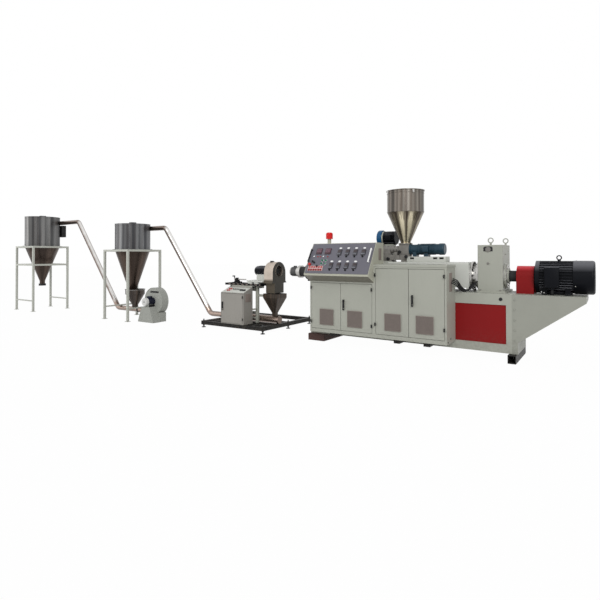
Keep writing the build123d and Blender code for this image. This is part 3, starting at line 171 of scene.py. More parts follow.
def paint(name, colour, rough=0.42, mottle=0.1, grime=0.25, gloss=0.22, under=None, painted_top_light=None):
    """Sprayed machine paint: soft cloudiness, orange peel, streaks and grime towards the floor. The last
    two arguments are the colours of painted shade on what faces down and of a painted highlight on what
    faces up."""
    s = Shader(name, gloss=gloss)
    base = s.mix(s.noise(1.7, 4.0), tint(colour, 1.0 - mottle), tint(colour, 1.0 + mottle))
    streak = s.span(s.noise(14.0, 4.0, (1.0, 1.0, 0.08)), 0.55, 0.8)
    base = s.mix(s.maths("MULTIPLY", streak, 0.1), base, tint(colour, 0.72))
    low = s.span(s.axis("Z"), 0.0, GRIME_TOP, 1.0, 0.0)
    spots = s.span(s.noise(30.0, 6.0), 0.42, 0.62)
    base = s.mix(s.maths("MULTIPLY", s.maths("MULTIPLY", low, spots), grime), base, GRIME)
    # Painted highlight: a paler tone on what faces up.
    if painted_top_light:
        base = s.mix(s.span(s.facing("Z"), 0.55, 0.9), base, painted_top_light)
    # Painted shade: a duller tone on what faces down.
    if under:
        base = s.mix(s.span(s.facing("Z"), -0.75, -0.2, 1.0, 0.0), base, under)
    return s.finish(base, (rough - 0.08, rough + 0.1), (45.0, 3.0), (380.0, 2.0), 0.1, 0.0006)


def casting(name, colour, rough=0.55, painted_top_light=None, gloss=0.14):
    """Rough cast or blackened steel; the fourth argument is a paler painted highlight on what faces up."""
    s = Shader(name, gloss=gloss)
    base = s.mix(s.noise(9.0, 5.0), tint(colour, 0.75), tint(colour, 1.3))
    # Painted highlight: a paler tone on what faces up.
    if painted_top_light:
        base = s.mix(s.span(s.facing("Z"), 0.35, 0.8), base, painted_top_light)
    return s.finish(base, (rough - 0.12, rough + 0.12), (60.0, 4.0), (160.0, 4.0), 0.35, 0.001)


def machined(name, colour, rough=0.28):
    """Turned or milled bright steel with fine tool marks and some smears."""
    s = Shader(name, metal=1.0)
    base = s.mix(s.noise(5.0, 4.0), tint(colour, 0.7), tint(colour, 1.1))
    return s.finish(base, (rough - 0.08, rough + 0.15), (50.0, 3.0, (6.0, 0.6, 0.6)),
                    (420.0, 2.0, (3.0, 0.4, 0.4)), 0.08, 0.0005)


# Painted reflections: the tones of the bands of light and dark round each polished vessel, by share of a
# turn.
BAND_STOPS = {
    "drum": ((0.0, 0.3), (0.03, 0.55), (0.08, 0.7), (0.11, 0.12), (0.15, 0.2), (0.2, 0.5), (0.25, 0.3),
             (0.33, 0.06), (0.44, 0.1), (0.52, 0.4), (0.6, 0.3), (0.63, 1.0), (0.66, 0.95), (0.69, 0.25),
             (0.74, 0.4), (0.78, 0.06), (0.83, 0.3), (0.88, 0.08), (0.92, 0.12), (0.95, 0.62), (0.98, 0.6),
             (1.0, 0.3)),
    "soft": ((0.0, 0.08), (0.1, 0.42), (0.22, 0.2), (0.4, 0.55), (0.52, 0.24), (0.68, 0.36), (0.82, 0.16),
             (1.0, 0.08)),
    "streak": ((0.0, 0.5), (0.05, 0.2), (0.1, 0.06), (0.17, 0.42), (0.22, 0.3), (0.28, 0.06), (0.38, 0.1),
               (0.43, 0.34), (0.5, 0.1), (0.56, 0.3), (0.62, 0.08), (0.67, 0.2), (0.7, 1.0), (0.78, 1.0),
               (0.81, 0.24), (0.86, 0.14), (0.89, 0.95), (0.96, 0.85), (1.0, 0.5)),
    "fine": ((0.0, 0.3), (0.04, 0.75), (0.08, 0.22), (0.12, 0.5), (0.17, 0.1), (0.22, 0.42), (0.26, 0.2),
             (0.31, 0.55), (0.35, 0.12), (0.39, 0.95), (0.43, 0.7), (0.47, 0.14), (0.52, 0.5), (0.56, 0.18),
             (0.6, 0.08), (0.64, 0.6), (0.67, 0.25), (0.71, 0.78), (0.75, 0.3), (0.79, 0.62), (0.83, 0.2),
             (0.87, 0.7), (0.91, 0.35), (0.95, 0.66), (1.0, 0.3)),
}
WARM_CAST = (0.16, 0.11, 0.08)


def stainless(name, node, dark, light, bands, turn, warm_share=0.35, cone=None):
    """Polished sheet round a node's upright axis, with painted reflections: bands of light and shade run up
    it and repeat on its far side, under a warm cast. `cone` holds the height below which it has other tones
    of painted reflection, and those tones; just below that height lies a ragged band of painted shade."""
    s = Shader(name, metal=0.7)
    centre = middle(node)
    x = s.maths("SUBTRACT", s.axis("X"), centre[0])
    y = s.maths("SUBTRACT", s.axis("Y"), centre[1])
    z = s.axis("Z")
    angle = s.maths("DIVIDE", s.maths("ARCTAN2", y, x), pi)
    wander = s.drift(0.05, 2.2, 2.0, (1.0, 1.0, 0.35))
    share = s.maths("FRACT", s.maths("ADD", s.maths("ADD", angle, 2.0 + turn), wander))
    length = s.maths("SQRT", s.maths("ADD", s.maths("MULTIPLY", x, x), s.maths("MULTIPLY", y, y)))
    ring = s.add("ShaderNodeCombineXYZ", X=s.maths("DIVIDE", x, length), Y=s.maths("DIVIDE", y, length),
                 Z=s.maths("MULTIPLY", z, 0.05)).outputs[0]
    fine = s.drift(0.35, 14.0, 2.0, (1.0, 1.0, 1.0), ring)
    # Painted reflections: bands of light and dark by the angle round the axis.
    band = s.maths("MAXIMUM", s.maths("ADD", s.steps(share, BAND_STOPS[bands]), fine), 0.0)
    base = s.mix(s.span(band, 0.0, 1.0), dark, light)
    cast = s.maths("MULTIPLY", s.span(s.noise(4.0, 2.0, place=ring), 0.42, 0.62), warm_share)
    base = s.mix(cast, base, WARM_CAST)
    if cone:
        height, low_dark, low_light, low_bands = cone
        below = s.span(z, height - 0.012, height + 0.002, 1.0, 0.0)
        low_band = s.maths("ADD", s.steps(share, BAND_STOPS[low_bands]), fine)
        # Painted shade: a ragged dark band just below the ring, at the top of the cone.
        teeth = s.span(s.noise(11.0, 1.0, place=ring), 0.42, 0.58, height - 0.15, height - 0.02)
        shade = s.span(s.maths("SUBTRACT", z, teeth), -0.03, 0.02, 1.0, 0.45)
        low_band = s.maths("MULTIPLY", low_band, shade)
        base = s.mix(below, base, s.mix(s.span(low_band, 0.05, 0.95), low_dark, low_light))
    return s.finish(base, (0.22, 0.44), (12.0, 4.0, (1.0, 1.0, 0.15)), (240.0, 2.0, (1.0, 1.0, 0.05)), 0.06,
                    0.0006)


def hood_sheet(name, top_z, face, side, low):
    """The cutter hood's sheet: a dull dark face of painted shade, brighter sides with a painted sheen and,
    below `top_z`, a brown chute.
    """
    s = Shader(name, metal=0.55, gloss=0.25)
    sides = s.mix(s.span(s.axis("Z"), top_z - 0.02, top_z + 0.03), low, side)
    # Painted shade on the ends that face along the line, and a painted sheen on the sides.
    ends = s.maths("ABSOLUTE", s.facing("X"))
    base = s.mix(s.span(ends, 0.4, 0.6), sides, face)
    base = s.mix(s.maths("MULTIPLY", s.noise(5.0, 4.0), 0.5), base, tint(low, 0.8))
    return s.finish(base, (0.34, 0.52), (16.0, 4.0), (200.0, 2.0, (1.0, 1.0, 0.1)), 0.08, 0.0006)


def tube_steel(name, light, edge, low_light, low_z):
    """Polished stainless tube with painted reflections: a painted highlight towards the end of the line,
    brown painted shade underneath, and duller below the height `low_z`, near the floor. Sloping and level
    runs have their painted highlight on different sides."""
    s = Shader(name, metal=0.85)
    near_floor = s.span(s.axis("Z"), low_z - 0.06, low_z + 0.06, 1.0, 0.0)
    across = 0.0
    for axis, sloping, level in (("X", 0.977, 0.43), ("Y", -0.326, -0.86), ("Z", 0.07, 0.25)):
        share = s.span(near_floor, 0.0, 1.0, sloping, level)
        across = s.maths("ADD", s.maths("MULTIPLY", s.facing(axis), share), across)
    # Painted reflection: bright where the surface faces one set direction, with painted shade towards the
    # tube's edges.
    bright = s.maths("ADD", s.maths("ABSOLUTE", across), s.drift(0.25, 5.0, 3.0))
    base = s.mix(s.span(bright, 0.5, 0.85), edge, s.mix(near_floor, light, low_light))
    return s.finish(base, (0.14, 0.28), (18.0, 3.0), (90.0, 2.0), 0.04, 0.0006)


def plastic(name, colour, rough):
    """Moulded plastic."""
    s = Shader(name, gloss=0.3)
    base = s.mix(s.noise(25.0, 3.0), tint(colour, 0.88), tint(colour, 1.12))
    return s.finish(base, (rough - 0.06, rough + 0.08), (80.0, 2.0), (600.0, 2.0), 0.08, 0.0004)


def timber(name, colour):
    """Oily hardwood with grain along its length."""
    s = Shader(name)
    grain = (18.0, 6.0, (1.0, 0.08, 1.0))
    base = s.mix(s.noise(*grain), tint(colour, 0.55), tint(colour, 1.7))
    return s.finish(base, (0.72, 0.72), grain, grain, 0.5, 0.003)


GREY = (0.37, 0.377, 0.33)
MAT = {
    "grey": paint("machine paint", GREY),
    "bracket": paint("bracket paint", tint(GREY, 0.84)),
    # The console paint's duller tone on what faces down is painted shade under the desk.
    "desk": paint("console paint", (0.43, 0.43, 0.355), grime=0.0, under=(0.19, 0.18, 0.148)),
    "pale": paint("pale frame paint", (0.5, 0.51, 0.46), grime=0.12),
    "blower": paint("blower paint", (0.34, 0.35, 0.32), grime=0.12),
    "white": paint("shroud paint", (0.55, 0.56, 0.52), grime=0.0),
    "shell": paint("pale fan cover", (0.62, 0.62, 0.6), grime=0.0),
    # The red paint's paler tone on what faces up is a painted highlight on the guard's top fold.
    "red": paint("red panel paint", (0.225, 0.008, 0.009), rough=0.38, mottle=0.06, gloss=0.14,
                 painted_top_light=(0.62, 0.045, 0.06)),
    "black": paint("black paint", (0.01, 0.01, 0.011), rough=0.45, grime=0.35, gloss=0.12),
    "slate": paint("instrument plate", (0.145, 0.142, 0.168), rough=0.45, grime=0.0),
    "cutter": paint("cutter cabinet paint", (0.285, 0.272, 0.248)),
    "teal": paint("teal drive paint", (0.012, 0.04, 0.062), rough=0.33, grime=0.0, gloss=0.3),
    "blue": paint("pump blue paint", (0.01, 0.08, 0.19), rough=0.3, grime=0.0, gloss=0.25),
    "navy": paint("blower motor paint", (0.012, 0.014, 0.03), rough=0.4, grime=0.0),
    "taupe": paint("louvre taupe", (0.235, 0.195, 0.175), rough=0.55, grime=0.0),
    "iron": casting("black iron", (0.03, 0.03, 0.031)),
    "cast": casting("grey casting", (0.215, 0.205, 0.19)),
    # Motor black is paler on what faces up: a painted reflection on the motors' upper faces.
    "motor": casting("motor black", (0.004, 0.0046, 0.0066), 0.42, (0.13, 0.132, 0.145), 0.09),
    "bright": machined("machined steel", (0.52, 0.51, 0.49)),
    "band": machined("band steel", (0.24, 0.235, 0.23), 0.36),
    "dull": machined("dull steel", (0.1, 0.1, 0.1), 0.42),
    # The rotor's near-black steel is painted shade for the inside of the cutter hood.
    "shaded_steel": machined("steel darkened by painted shade", (0.022, 0.022, 0.022), 0.5),
    "chrome": machined("bright chrome", (0.8, 0.8, 0.8), 0.14),
    "gap": plastic("louvre gap", (0.15, 0.125, 0.112), 0.6),
    "rubber": plastic("black rubber", (0.01, 0.01, 0.011), 0.6),
    "beacon": plastic("red beacon", (0.62, 0.008, 0.008), 0.25),
    "display": plastic("dark display window", (0.06, 0.045, 0.05), 0.12),
    "case": plastic("controller case", (0.07, 0.068, 0.078), 0.3),
    "keys": plastic("grey keys", (0.3, 0.32, 0.36), 0.4),
    "white_plastic": plastic("white plastic", (0.8, 0.8, 0.8), 0.4),
    "meter_case": plastic("meter case", (0.06, 0.03, 0.038), 0.3),
    "meter_face": plastic("meter face", (0.15, 0.082, 0.105), 0.3),
    "lamp_red": plastic("red lens", (0.45, 0.012, 0.012), 0.18),
    "switch_red": plastic("dark red key", (0.26, 0.012, 0.012), 0.3),
    "lamp_green": plastic("green lens", (0.01, 0.13, 0.07), 0.2),
    "tag_pink": plastic("pale tag strip", (0.55, 0.38, 0.37), 0.45),
    "void": plastic("dark hole", (0.004, 0.004, 0.004), 0.8),
    "wood": timber("packer timber", (0.045, 0.018, 0.014)),
    # The vessels, the bowl and the funnel carry painted reflections in bands round their axes.
    "silo": stainless("silo sheet", "silo_body", (0.018, 0.019, 0.022), (0.32, 0.32, 0.315), "drum", 0.1,
                      0.12, (SILO_RING, (0.034, 0.023, 0.018), (0.15, 0.108, 0.086), "soft")),
    "cyclone": stainless("cyclone sheet", "cyclone_body", (0.016, 0.018, 0.023), (0.29, 0.295, 0.3), "drum",
                         0.08, 0.12, (CYCLONE_RING, (0.036, 0.024, 0.018), (0.175, 0.125, 0.098), "soft")),
    "hopper": stainless("hopper sheet", "hopper", (0.014, 0.01, 0.008), (0.36, 0.335, 0.295), "fine", 0.2,
                        cone=(HOPPER_RING, (0.045, 0.032, 0.024), (0.78, 0.7, 0.52), "streak")),
    "bowl": stainless("bowl sheet", "feed_bowl", (0.018, 0.015, 0.013), (0.13, 0.11, 0.1), "soft", 0.3),
    "funnel": stainless("funnel sheet", "granule_funnel", (0.014, 0.012, 0.01), (0.11, 0.085, 0.065),
                        "soft", 0.1),
    # The hood's dark face is painted shade and its bright sides a painted sheen.
    "hood": hood_sheet("hood sheet", 1.07, (0.04, 0.04, 0.036), (0.66, 0.57, 0.49), (0.09, 0.075, 0.055)),
    # The tube's bright side is a painted reflection and its brown edges painted shade.
    "tube": tube_steel("stainless tube", (0.8, 0.79, 0.77), (0.16, 0.12, 0.1), (0.34, 0.26, 0.22), 0.42),
}
DRESS = {
    "grey": ("bed_frame", "console_cabinet", "main_cabinet", "main_cabinet_lid", "console_door_left",
             "console_door_right", "main_door_left", "main_door_right", "gearbox", "vacuum_stand",
             "cutter_stand"),
    "bracket": ("motor_bracket",),
    "blower": ("blower_housing", "blower_pedestal"),
    "desk": ("console_desk",),
    "cutter": ("cutter_cabinet", "cutter_door"),
    "pale": ("cyclone_stand", "silo_stand", "barrel_stands"),
    "white": ("barrel_cover", "carriage", "feeder_plate"),
    "red": ("bed_panels", "coupling_guard"),
    "black": ("skid_and_bearers", "cutter_base", "slide_rails"),
    "slate": ("control_panel",),
    "iron": ("barrel", "silo_fittings", "coupling"),
    "cast": ("feeder_housing",),
    "motor": ("drive_motor", "cutter_motor", "vacuum_motor"),
    "bright": ("die_head", "lantern"),
    "shaded_steel": ("cutter_rotor",),
    "band": ("heater_bands",),
    "teal": ("feeder_drive",),
    "navy": ("blower_motor",),
    "blue": ("vacuum_cover",),
    "rubber": ("panel_controls",),
    "wood": ("timber_block",),
    "silo": ("silo_body", "silo_roof"),
    "cyclone": ("cyclone_body", "cyclone_roof"),
    "hopper": ("hopper", "hopper_lid"),
    "bowl": ("feed_bowl",),
    "funnel": ("granule_funnel",),
    "hood": ("cutter_hood",),
    "tube": ("cyclone_pipe", "silo_pipe"),
    "beacon": ("beacon_dome",),
}


def dress_nodes():
    """Gives every CAD node its material."""
    for key, names in DRESS.items():
        for name in names:
            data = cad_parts[name].data
            data.materials.clear()
            data.materials.append(MAT[key])


dress_nodes()


# Places and matrices
def at(x, y, z):
    """A place in the row frame, from the console's discharge end, the screw axis and the floor."""
    return LINE_ORIGIN + Vector((x, y, z))


def on_axis(x):
    """A place on the screw's axis."""
    return Vector((x, AXIS_Y, AXIS_Z))


def local_box(node):
    """A node's box in the line's own frame."""
    return [[corner[i] - LINE_ORIGIN[i] for i in range(3)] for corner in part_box(node)]


def from_axes(origin, x, y, z):
    """A matrix with its place and its three axes."""
    return Matrix.Translation(origin) @ Matrix((x, y, z)).transposed().to_4x4()


def frame_at(origin, direction, up=(0, 0, 1)):
    """A matrix whose Z follows `direction` and whose Y is near `up`."""
    z = Vector(direction).normalized()
    x = Vector(up).cross(z).normalized()
    return from_axes(origin, x, z.cross(x), z)


AXES = {"X": (1, 0, 0), "-X": (-1, 0, 0), "Y": (0, 1, 0), "-Y": (0, -1, 0), "Z": (0, 0, 1)}


def along(axis, origin):
    """A matrix that turns local Z onto a world axis."""
    return frame_at(origin, AXES[axis], (0, 1, 0) if axis == "Z" else (0, 0, 1))


def circle(base, radius, count, start=0.0):
    """Matrices on a circle about the base's Z, all turned as the base is."""
    for i in range(count):
        a = start + 2 * pi * i / count
        yield base @ Matrix.Translation((radius * cos(a), radius * sin(a), 0.0))


def spokes(base, count):
    """Matrices turned in even steps about the base's Z."""
    for i in range(count):
        yield base @ Matrix.Rotation(2 * pi * i / count, 4, "Z")


# Meshes
def add_object(name, data):
    """A new object in the scene."""
    obj = bpy.data.objects.new(name, data)
    bpy.context.collection.objects.link(obj)
    return obj


def ride(name, mesh, material, body, sharp):
    """A dressed mesh that rides on a body, with edges above `sharp` degrees left sharp."""
    for face in mesh.polygons:
        face.use_smooth = True
    mesh.set_sharp_from_angle(angle=radians(sharp))
    mesh.materials.clear()
    mesh.materials.append(MAT[material])
    obj = add_object(name, mesh)
    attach(obj, body)
    return obj


class Form:
    """A mesh under construction, made of simple shapes that matrices put in their places."""

    def __init__(self):
        self.bm = bmesh.new()

    def block(self, low, high, bevel, matrix=None):
        """A bevelled block between two corners."""
        size = [high[i] - low[i] for i in range(3)]
        centre = [(high[i] + low[i]) / 2 for i in range(3)]
        local = Matrix.Translation(centre) @ Matrix.Diagonal((*size, 1.0))
        made = bmesh.ops.create_cube(self.bm, size=1.0, matrix=(matrix or Matrix()) @ local)
        cut = min(bevel, min(size) * 0.45)
        if cut > 0.0002:
            edges = {e for v in made["verts"] for e in v.link_edges}
            bmesh.ops.bevel(self.bm, geom=list(edges), offset=cut, segments=2, affect="EDGES", profile=0.5)
        return self

    def lathe(self, profile, matrix, segments):
        """A profile of (radius, height) points turned about the matrix's Z."""
        turns = [2 * pi * i / segments for i in range(segments)]
        rings = []
        for r, h in profile:
            spots = [(r * cos(a), r * sin(a), h) for a in turns] if r > 1e-6 else [(0, 0, h)]
            rings.append([self.bm.verts.new(matrix @ Vector(spot)) for spot in spots])
        for a, b in zip(rings, rings[1:]):
            for i in range(segments):
                j = (i + 1) % segments
                corners = [a[i % len(a)], a[j % len(a)], b[j % len(b)], b[i % len(b)]]
                unique = list(dict.fromkeys(corners))
                if len(unique) > 2:
                    self.bm.faces.new(unique)
        return self

    def drum(self, radius, z0, z1, matrix, segments, bevel=0.002):
        """A round bar with softened rims."""
        cut = min(bevel, radius * 0.4, (z1 - z0) * 0.4)
        return self.lathe([(0, z0), (radius - cut, z0), (radius, z0 + cut), (radius, z1 - cut),
                           (radius - cut, z1), (0, z1)], matrix, segments)

    def ring(self, inner, outer, z0, z1, matrix, segments=48, bevel=0.001):
        """A flat ring."""
        return self.lathe([(inner, z0), (outer - bevel, z0), (outer, z0 + bevel), (outer, z1 - bevel),
                           (outer - bevel, z1), (inner, z1), (inner, z0)], matrix, segments)

    def prism(self, outline, matrix, z0, z1):
        """A flat outline drawn out along the matrix's Z."""
        low, high = [[self.bm.verts.new(matrix @ Vector((x, y, z))) for x, y in outline] for z in (z0, z1)]
        self.bm.faces.new(low[::-1])
        self.bm.faces.new(high)
        for i in range(len(outline)):
            j = (i + 1) % len(outline)
            self.bm.faces.new((low[i], low[j], high[j], high[i]))
        return self

    def bolt(self, matrix, size, height):
        """A hexagon head on a washer."""
        self.drum(size * 1.25, 0.0, height * 0.22, matrix, 16, 0.0004)
        return self.drum(size, height * 0.2, height, matrix, 6, 0.001)

    def bolts(self, centre, axis, radius, count, size, start=0.0):
        """Hexagon bolts on a circle, heads along the axis."""
        for turn in circle(along(axis, centre), radius, count, start):
            self.bolt(turn, size, size * 0.75)
        return self

    def seam(self, centre, radius, z0, z1, angle):
        """A weld seam that runs up a round sheet."""
        turn = Matrix.Translation(centre) @ Matrix.Rotation(angle, 4, "Z")
        return self.block((radius - 0.002, -0.006, z0), (radius + 0.0022, 0.006, z1), 0.001, turn)

    def piece(self, name, material, body=LINE):
        """The finished mesh, which rides on a body. The form is empty again."""
        bmesh.ops.remove_doubles(self.bm, verts=self.bm.verts, dist=1e-6)
        bmesh.ops.recalc_face_normals(self.bm, faces=self.bm.faces)
        mesh = bpy.data.meshes.new(name)
        self.bm.to_mesh(mesh)
        self.bm.clear()
        return ride(name, mesh, material, body, 32.0)


def rod(name, points, radius, material):
    """A rigid bar or pipe along a smooth line, as a mesh."""
    curve = bpy.data.curves.new(name, "CURVE")
    curve.dimensions = "3D"
    spline = curve.splines.new("NURBS")
    spline.points.add(len(points) - 1)
    for dot, p in zip(spline.points, points):
        dot.co = (*p, 1.0)
    spline.order_u = 3
    spline.use_endpoint_u = True
    curve.bevel_depth = radius
    curve.bevel_resolution = 3
    curve.use_fill_caps = True
    curve.resolution_u = 8
    line = add_object(name + "_line", curve)
    mesh = bpy.data.meshes.new_from_object(line)
    bpy.data.objects.remove(line)
    bpy.data.curves.remove(curve)
    mesh.name = name
    ride(name, mesh, material, LINE, 40.0)


# Extruder cabinets
FRONT = CONSOLE[0][1] - AXIS_Y
LOUVRE_SIZE = 0.262
LOUVRE_FOOT = 0.375
LOUVRE_SLATS = 9
SIDE_SLATS = 7
HINGE_HALF = 0.026
# The side of the hinges, and where each leaf begins and ends along the line and in height
DOORS = {
    "console_door_left": (-1, (0.036, 0.617), (0.296, 1.098)),
    "console_door_right": (1, (0.625, 1.206), (0.296, 1.098)),
    "main_door_left": (-1, (1.278, 1.8325), (0.296, 1.362)),
    "main_door_right": (1, (1.8405, 2.395), (0.296, 1.362)),
}


def louvre_panel(node, centre_x):
    """A painted sheet with pressed slats and a thin border, over the plain slats of the solid."""
    x0 = centre_x - LOUVRE_SIZE / 2 - 0.008
    x1 = centre_x + LOUVRE_SIZE / 2 + 0.008
    top = LOUVRE_FOOT + LOUVRE_SIZE
    form = Form()
    form.block(at(x0, FRONT - 0.0025, LOUVRE_FOOT - 0.008), at(x1, FRONT - 0.0002, top + 0.008), 0.001)
    gaps = Form()
    gaps.block(at(x0 + 0.006, FRONT - 0.0032, LOUVRE_FOOT), at(x1 - 0.006, FRONT - 0.002, top), 0.0002)
    gaps.piece(node + "_louvre_gaps", "gap", node + "_leaf")
    pitch = LOUVRE_SIZE / LOUVRE_SLATS
    rise = pitch * 0.55
    turn = along("X", at(x0 + 0.006, FRONT, LOUVRE_FOOT))
    for i in range(LOUVRE_SLATS):
        z = i * pitch + (pitch - rise) / 2
        outline = [(-0.0015, z - 0.002), (0.0092, z - 0.002), (0.0086, z + 0.003),
                   (-0.0015, z + rise + 0.004)]
        form.prism(outline, turn, 0.0, x1 - x0 - 0.012)
    form.piece(node + "_louvre", "taupe", node + "_leaf")


def side_louvre(name, x, y0, z0, width, height):
    """A taupe louvre on a face that looks towards the motor."""
    form = Form()
    form.block(at(x + 0.0002, y0, z0), at(x + 0.003, y0 + width, z0 + height), 0.001)
    pitch = (height - 0.012) / SIDE_SLATS
    turn = along("Y", at(x, y0 + 0.006, z0 + 0.006))
    for i in range(SIDE_SLATS):
        z = i * pitch
        outline = [(0.001, z), (0.0085, z), (0.0078, z + 0.004), (0.001, z + pitch * 0.66)]
        form.prism(outline, turn, 0.0, width - 0.012)
    form.piece(name, "taupe")


def swing_handle(node, x, z, front):
    """A black swing handle: a long housing, a raised grip, a pivot and a key barrel."""
    form = Form()
    form.block(at(x - 0.017, front - 0.0075, z - 0.091), at(x + 0.017, front - 0.0003, z + 0.091), 0.003)
    form.block(at(x - 0.0118, front - 0.0252, z - 0.056), at(x + 0.0118, front - 0.006, z + 0.084), 0.005)
    for rise, radius in ((-0.072, 0.01), (0.068, 0.0125)):
        form.drum(radius, -0.03, -0.004, along("Y", at(x, front, z + rise)), 20)
    form.piece(node + "_handle", "rubber", node + "_leaf")


def hinge_covers(node, edge, foot, top, front):
    """Black hinge barrels: the lower half stays on the cabinet, the upper half goes with the door."""
    fixed = Form()
    moving = Form()
    turn = along("Z", at(edge, front - 0.008, 0.0))
    for z in (foot + (top - foot) * 0.15, top - (top - foot) * 0.07 - HINGE_HALF):
        fixed.drum(0.0125, z - HINGE_HALF - 0.0006, z - 0.0002, turn, 20)
        moving.drum(0.0125, z + 0.0006, z + HINGE_HALF, turn, 20)
    fixed.piece(node + "_lower_hinges", "rubber")
    moving.piece(node + "_upper_hinges", "rubber", node + "_leaf")


def extruder_doors():
    """Louvres, handles and hinge barrels on the extruder's cabinets."""
    for node, (side, (x0, x1), (foot, top)) in DOORS.items():
        louvre_panel(node, (x0 + x1) / 2 - side * 0.02)
        hinge_covers(node, x0 - 0.004 if side < 0 else x1 + 0.004, foot, top, FRONT)
        if side > 0:
            swing_handle(node, x0 + 0.062, (foot + top) / 2 + 0.04, FRONT)


extruder_doors()


# Instruments on the sloped plate
LIP = at(0.0, -1.042, 1.26)
SLOPE_UP = Vector((0.0, 0.326, 0.536)).normalized()
SLOPE_OUT = Vector((0.0, -SLOPE_UP.z, SLOPE_UP.y))
PLATE = 0.006
DIAL = 0.118


def on_slope(u, v):
    """A matrix on the instrument plate, u along the line and v up the slope, with Z out of the plate."""
    origin = LIP + Vector((u, 0, 0)) + SLOPE_UP * v + SLOPE_OUT * PLATE
    return from_axes(origin, Vector((1, 0, 0)), SLOPE_UP, SLOPE_OUT)


def slope_blocks(name, places, size, material, bevel):
    """Like blocks on the plate."""
    form = Form()
    for u, v in places:
        form.block((-size[0] / 2, -size[1] / 2, 0.0), (size[0] / 2, size[1] / 2, size[2]), bevel,
                   on_slope(u, v))
    return form.piece(name, material)


def slope_drums(name, places, radius, height, material):
    """Like round pieces on the plate."""
    form = Form()
    for u, v in places:
        form.drum(radius, 0.0, height, on_slope(u, v), 28)
    form.piece(name, material)


def controllers():
    """Eight temperature controllers, each with a white tag above and a selector knob below."""
    spots = [(start + 0.152 * i, v) for start, v in ((0.6, 0.43), (0.5, 0.165)) for i in range(4)]
    windows = [(u, v + 0.024) for u, v in spots]
    cases = slope_blocks("controller_cases", spots, (0.072, 0.106, 0.016), "case", 0.004)
    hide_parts("panel_controls")
    slope_blocks("controller_frames", spots, (0.08, 0.112, 0.01), "rubber", 0.003)
    slope_blocks("controller_windows", windows, (0.062, 0.04, 0.0172), "display", 0.001)
    oval = [(0.026 * cos(2 * pi * i / 28), 0.016 * sin(2 * pi * i / 28)) for i in range(28)]
    keys = Form()
    tags = Form()
    knobs = Form()
    for u, v in spots:
        for x in (-0.03, -0.008, 0.014):
            keys.block((x, -0.04, 0.012), (x + 0.014, -0.03, 0.0185), 0.001, on_slope(u, v))
        tags.prism(oval, on_slope(u, v + 0.088), 0.0, 0.004)
        matrix = on_slope(u, v - 0.08)
        knobs.drum(0.017, 0.0, 0.006, matrix, 24, 0.001)
        knobs.drum(0.012, 0.006, 0.022, matrix, 24)
        knobs.block((-0.004, -0.015, 0.018), (0.004, 0.015, 0.027), 0.001, matrix)
    keys.piece("controller_keys", "keys")
    tags.piece("controller_tags", "white_plastic")
    knobs.piece("controller_knobs", "rubber")


def dial(name, u, v):
    """A square moving-coil meter with its arc of ticks and its needle."""
    half = DIAL / 2
    case = Form().block((-half, -half, 0.0), (half, half, 0.014), 0.004, on_slope(u, v))
    case.piece(name + "_case", "meter_case")
    face = Form().block((-half + 0.012, -half + 0.034, 0.01), (half - 0.012, half - 0.012, 0.0152), 0.001,
                        on_slope(u, v))
    face.piece(name + "_face", "meter_face")
    form = Form()
    reach = DIAL * 0.4
    pivot = on_slope(u, v - 0.018)
    for i in range(11):
        tick = 0.01 if i % 5 == 0 else 0.006
        turn = pivot @ Matrix.Rotation(radians(140.0 - 10.0 * i), 4, "Z")
        form.block((reach - tick, -0.0008, 0.0148), (reach, 0.0008, 0.0158), 0.0, turn)
    turn = pivot @ Matrix.Rotation(radians(118.0), 4, "Z")
    form.block((0.004, -0.0009, 0.015), (reach - 0.004, 0.0009, 0.0164), 0.0, turn)
    form.piece(name + "_scale", "rubber")


def console_instruments():
    """Everything on the sloped plate."""
    controllers()
    for i in range(2):
        dial(f"meter_{i + 1}", 0.185 + 0.18 * i, 0.455)
    buttons = [(0.305 + 0.072 * i, 0.205 + 0.062 * j) for i in range(2) for j in range(2)]
    row = [0.085 + 0.048 * i for i in range(6)]
    slope_drums("meter_knobs", [(0.115, 0.345), (0.305, 0.345)], 0.013, 0.018, "chrome")
    slope_drums("meter_lamps", [(0.19, 0.345), (0.24, 0.345), (0.39, 0.345)], 0.01, 0.012, "lamp_red")
    slope_drums("green_buttons", buttons, 0.019, 0.016, "lamp_green")
    slope_drums("button_collars", buttons, 0.024, 0.006, "chrome")
    slope_drums("dark_knobs", [(0.11, 0.245), (0.15, 0.225), (0.228, 0.15)], 0.018, 0.022, "rubber")
    slope_blocks("switch_row_plate", [(0.205, 0.112)], (0.3, 0.1, 0.004), "tag_pink", 0.001)
    slope_drums("red_lamps", [(u, 0.134) for u in row], 0.015, 0.014, "lamp_red")
    slope_blocks("red_switches", [(u, 0.08) for u in row], (0.032, 0.03, 0.016), "switch_red", 0.003)
    slope_drums("emergency_stop", [(0.07, 0.185)], 0.026, 0.03, "lamp_red")
    for name, u, material in (("white_grip", 1.196, "white_plastic"), ("dark_grip", 0.03, "rubber")):
        form = Form()
        for v in (0.245, 0.475):
            form.drum(0.01, 0.0, 0.03, on_slope(u, v), 20, 0.001)
        form.block((-0.013, 0.225, 0.024), (0.013, 0.495, 0.04), 0.006, on_slope(u, 0.0))
        form.piece(name, material)


console_instruments()


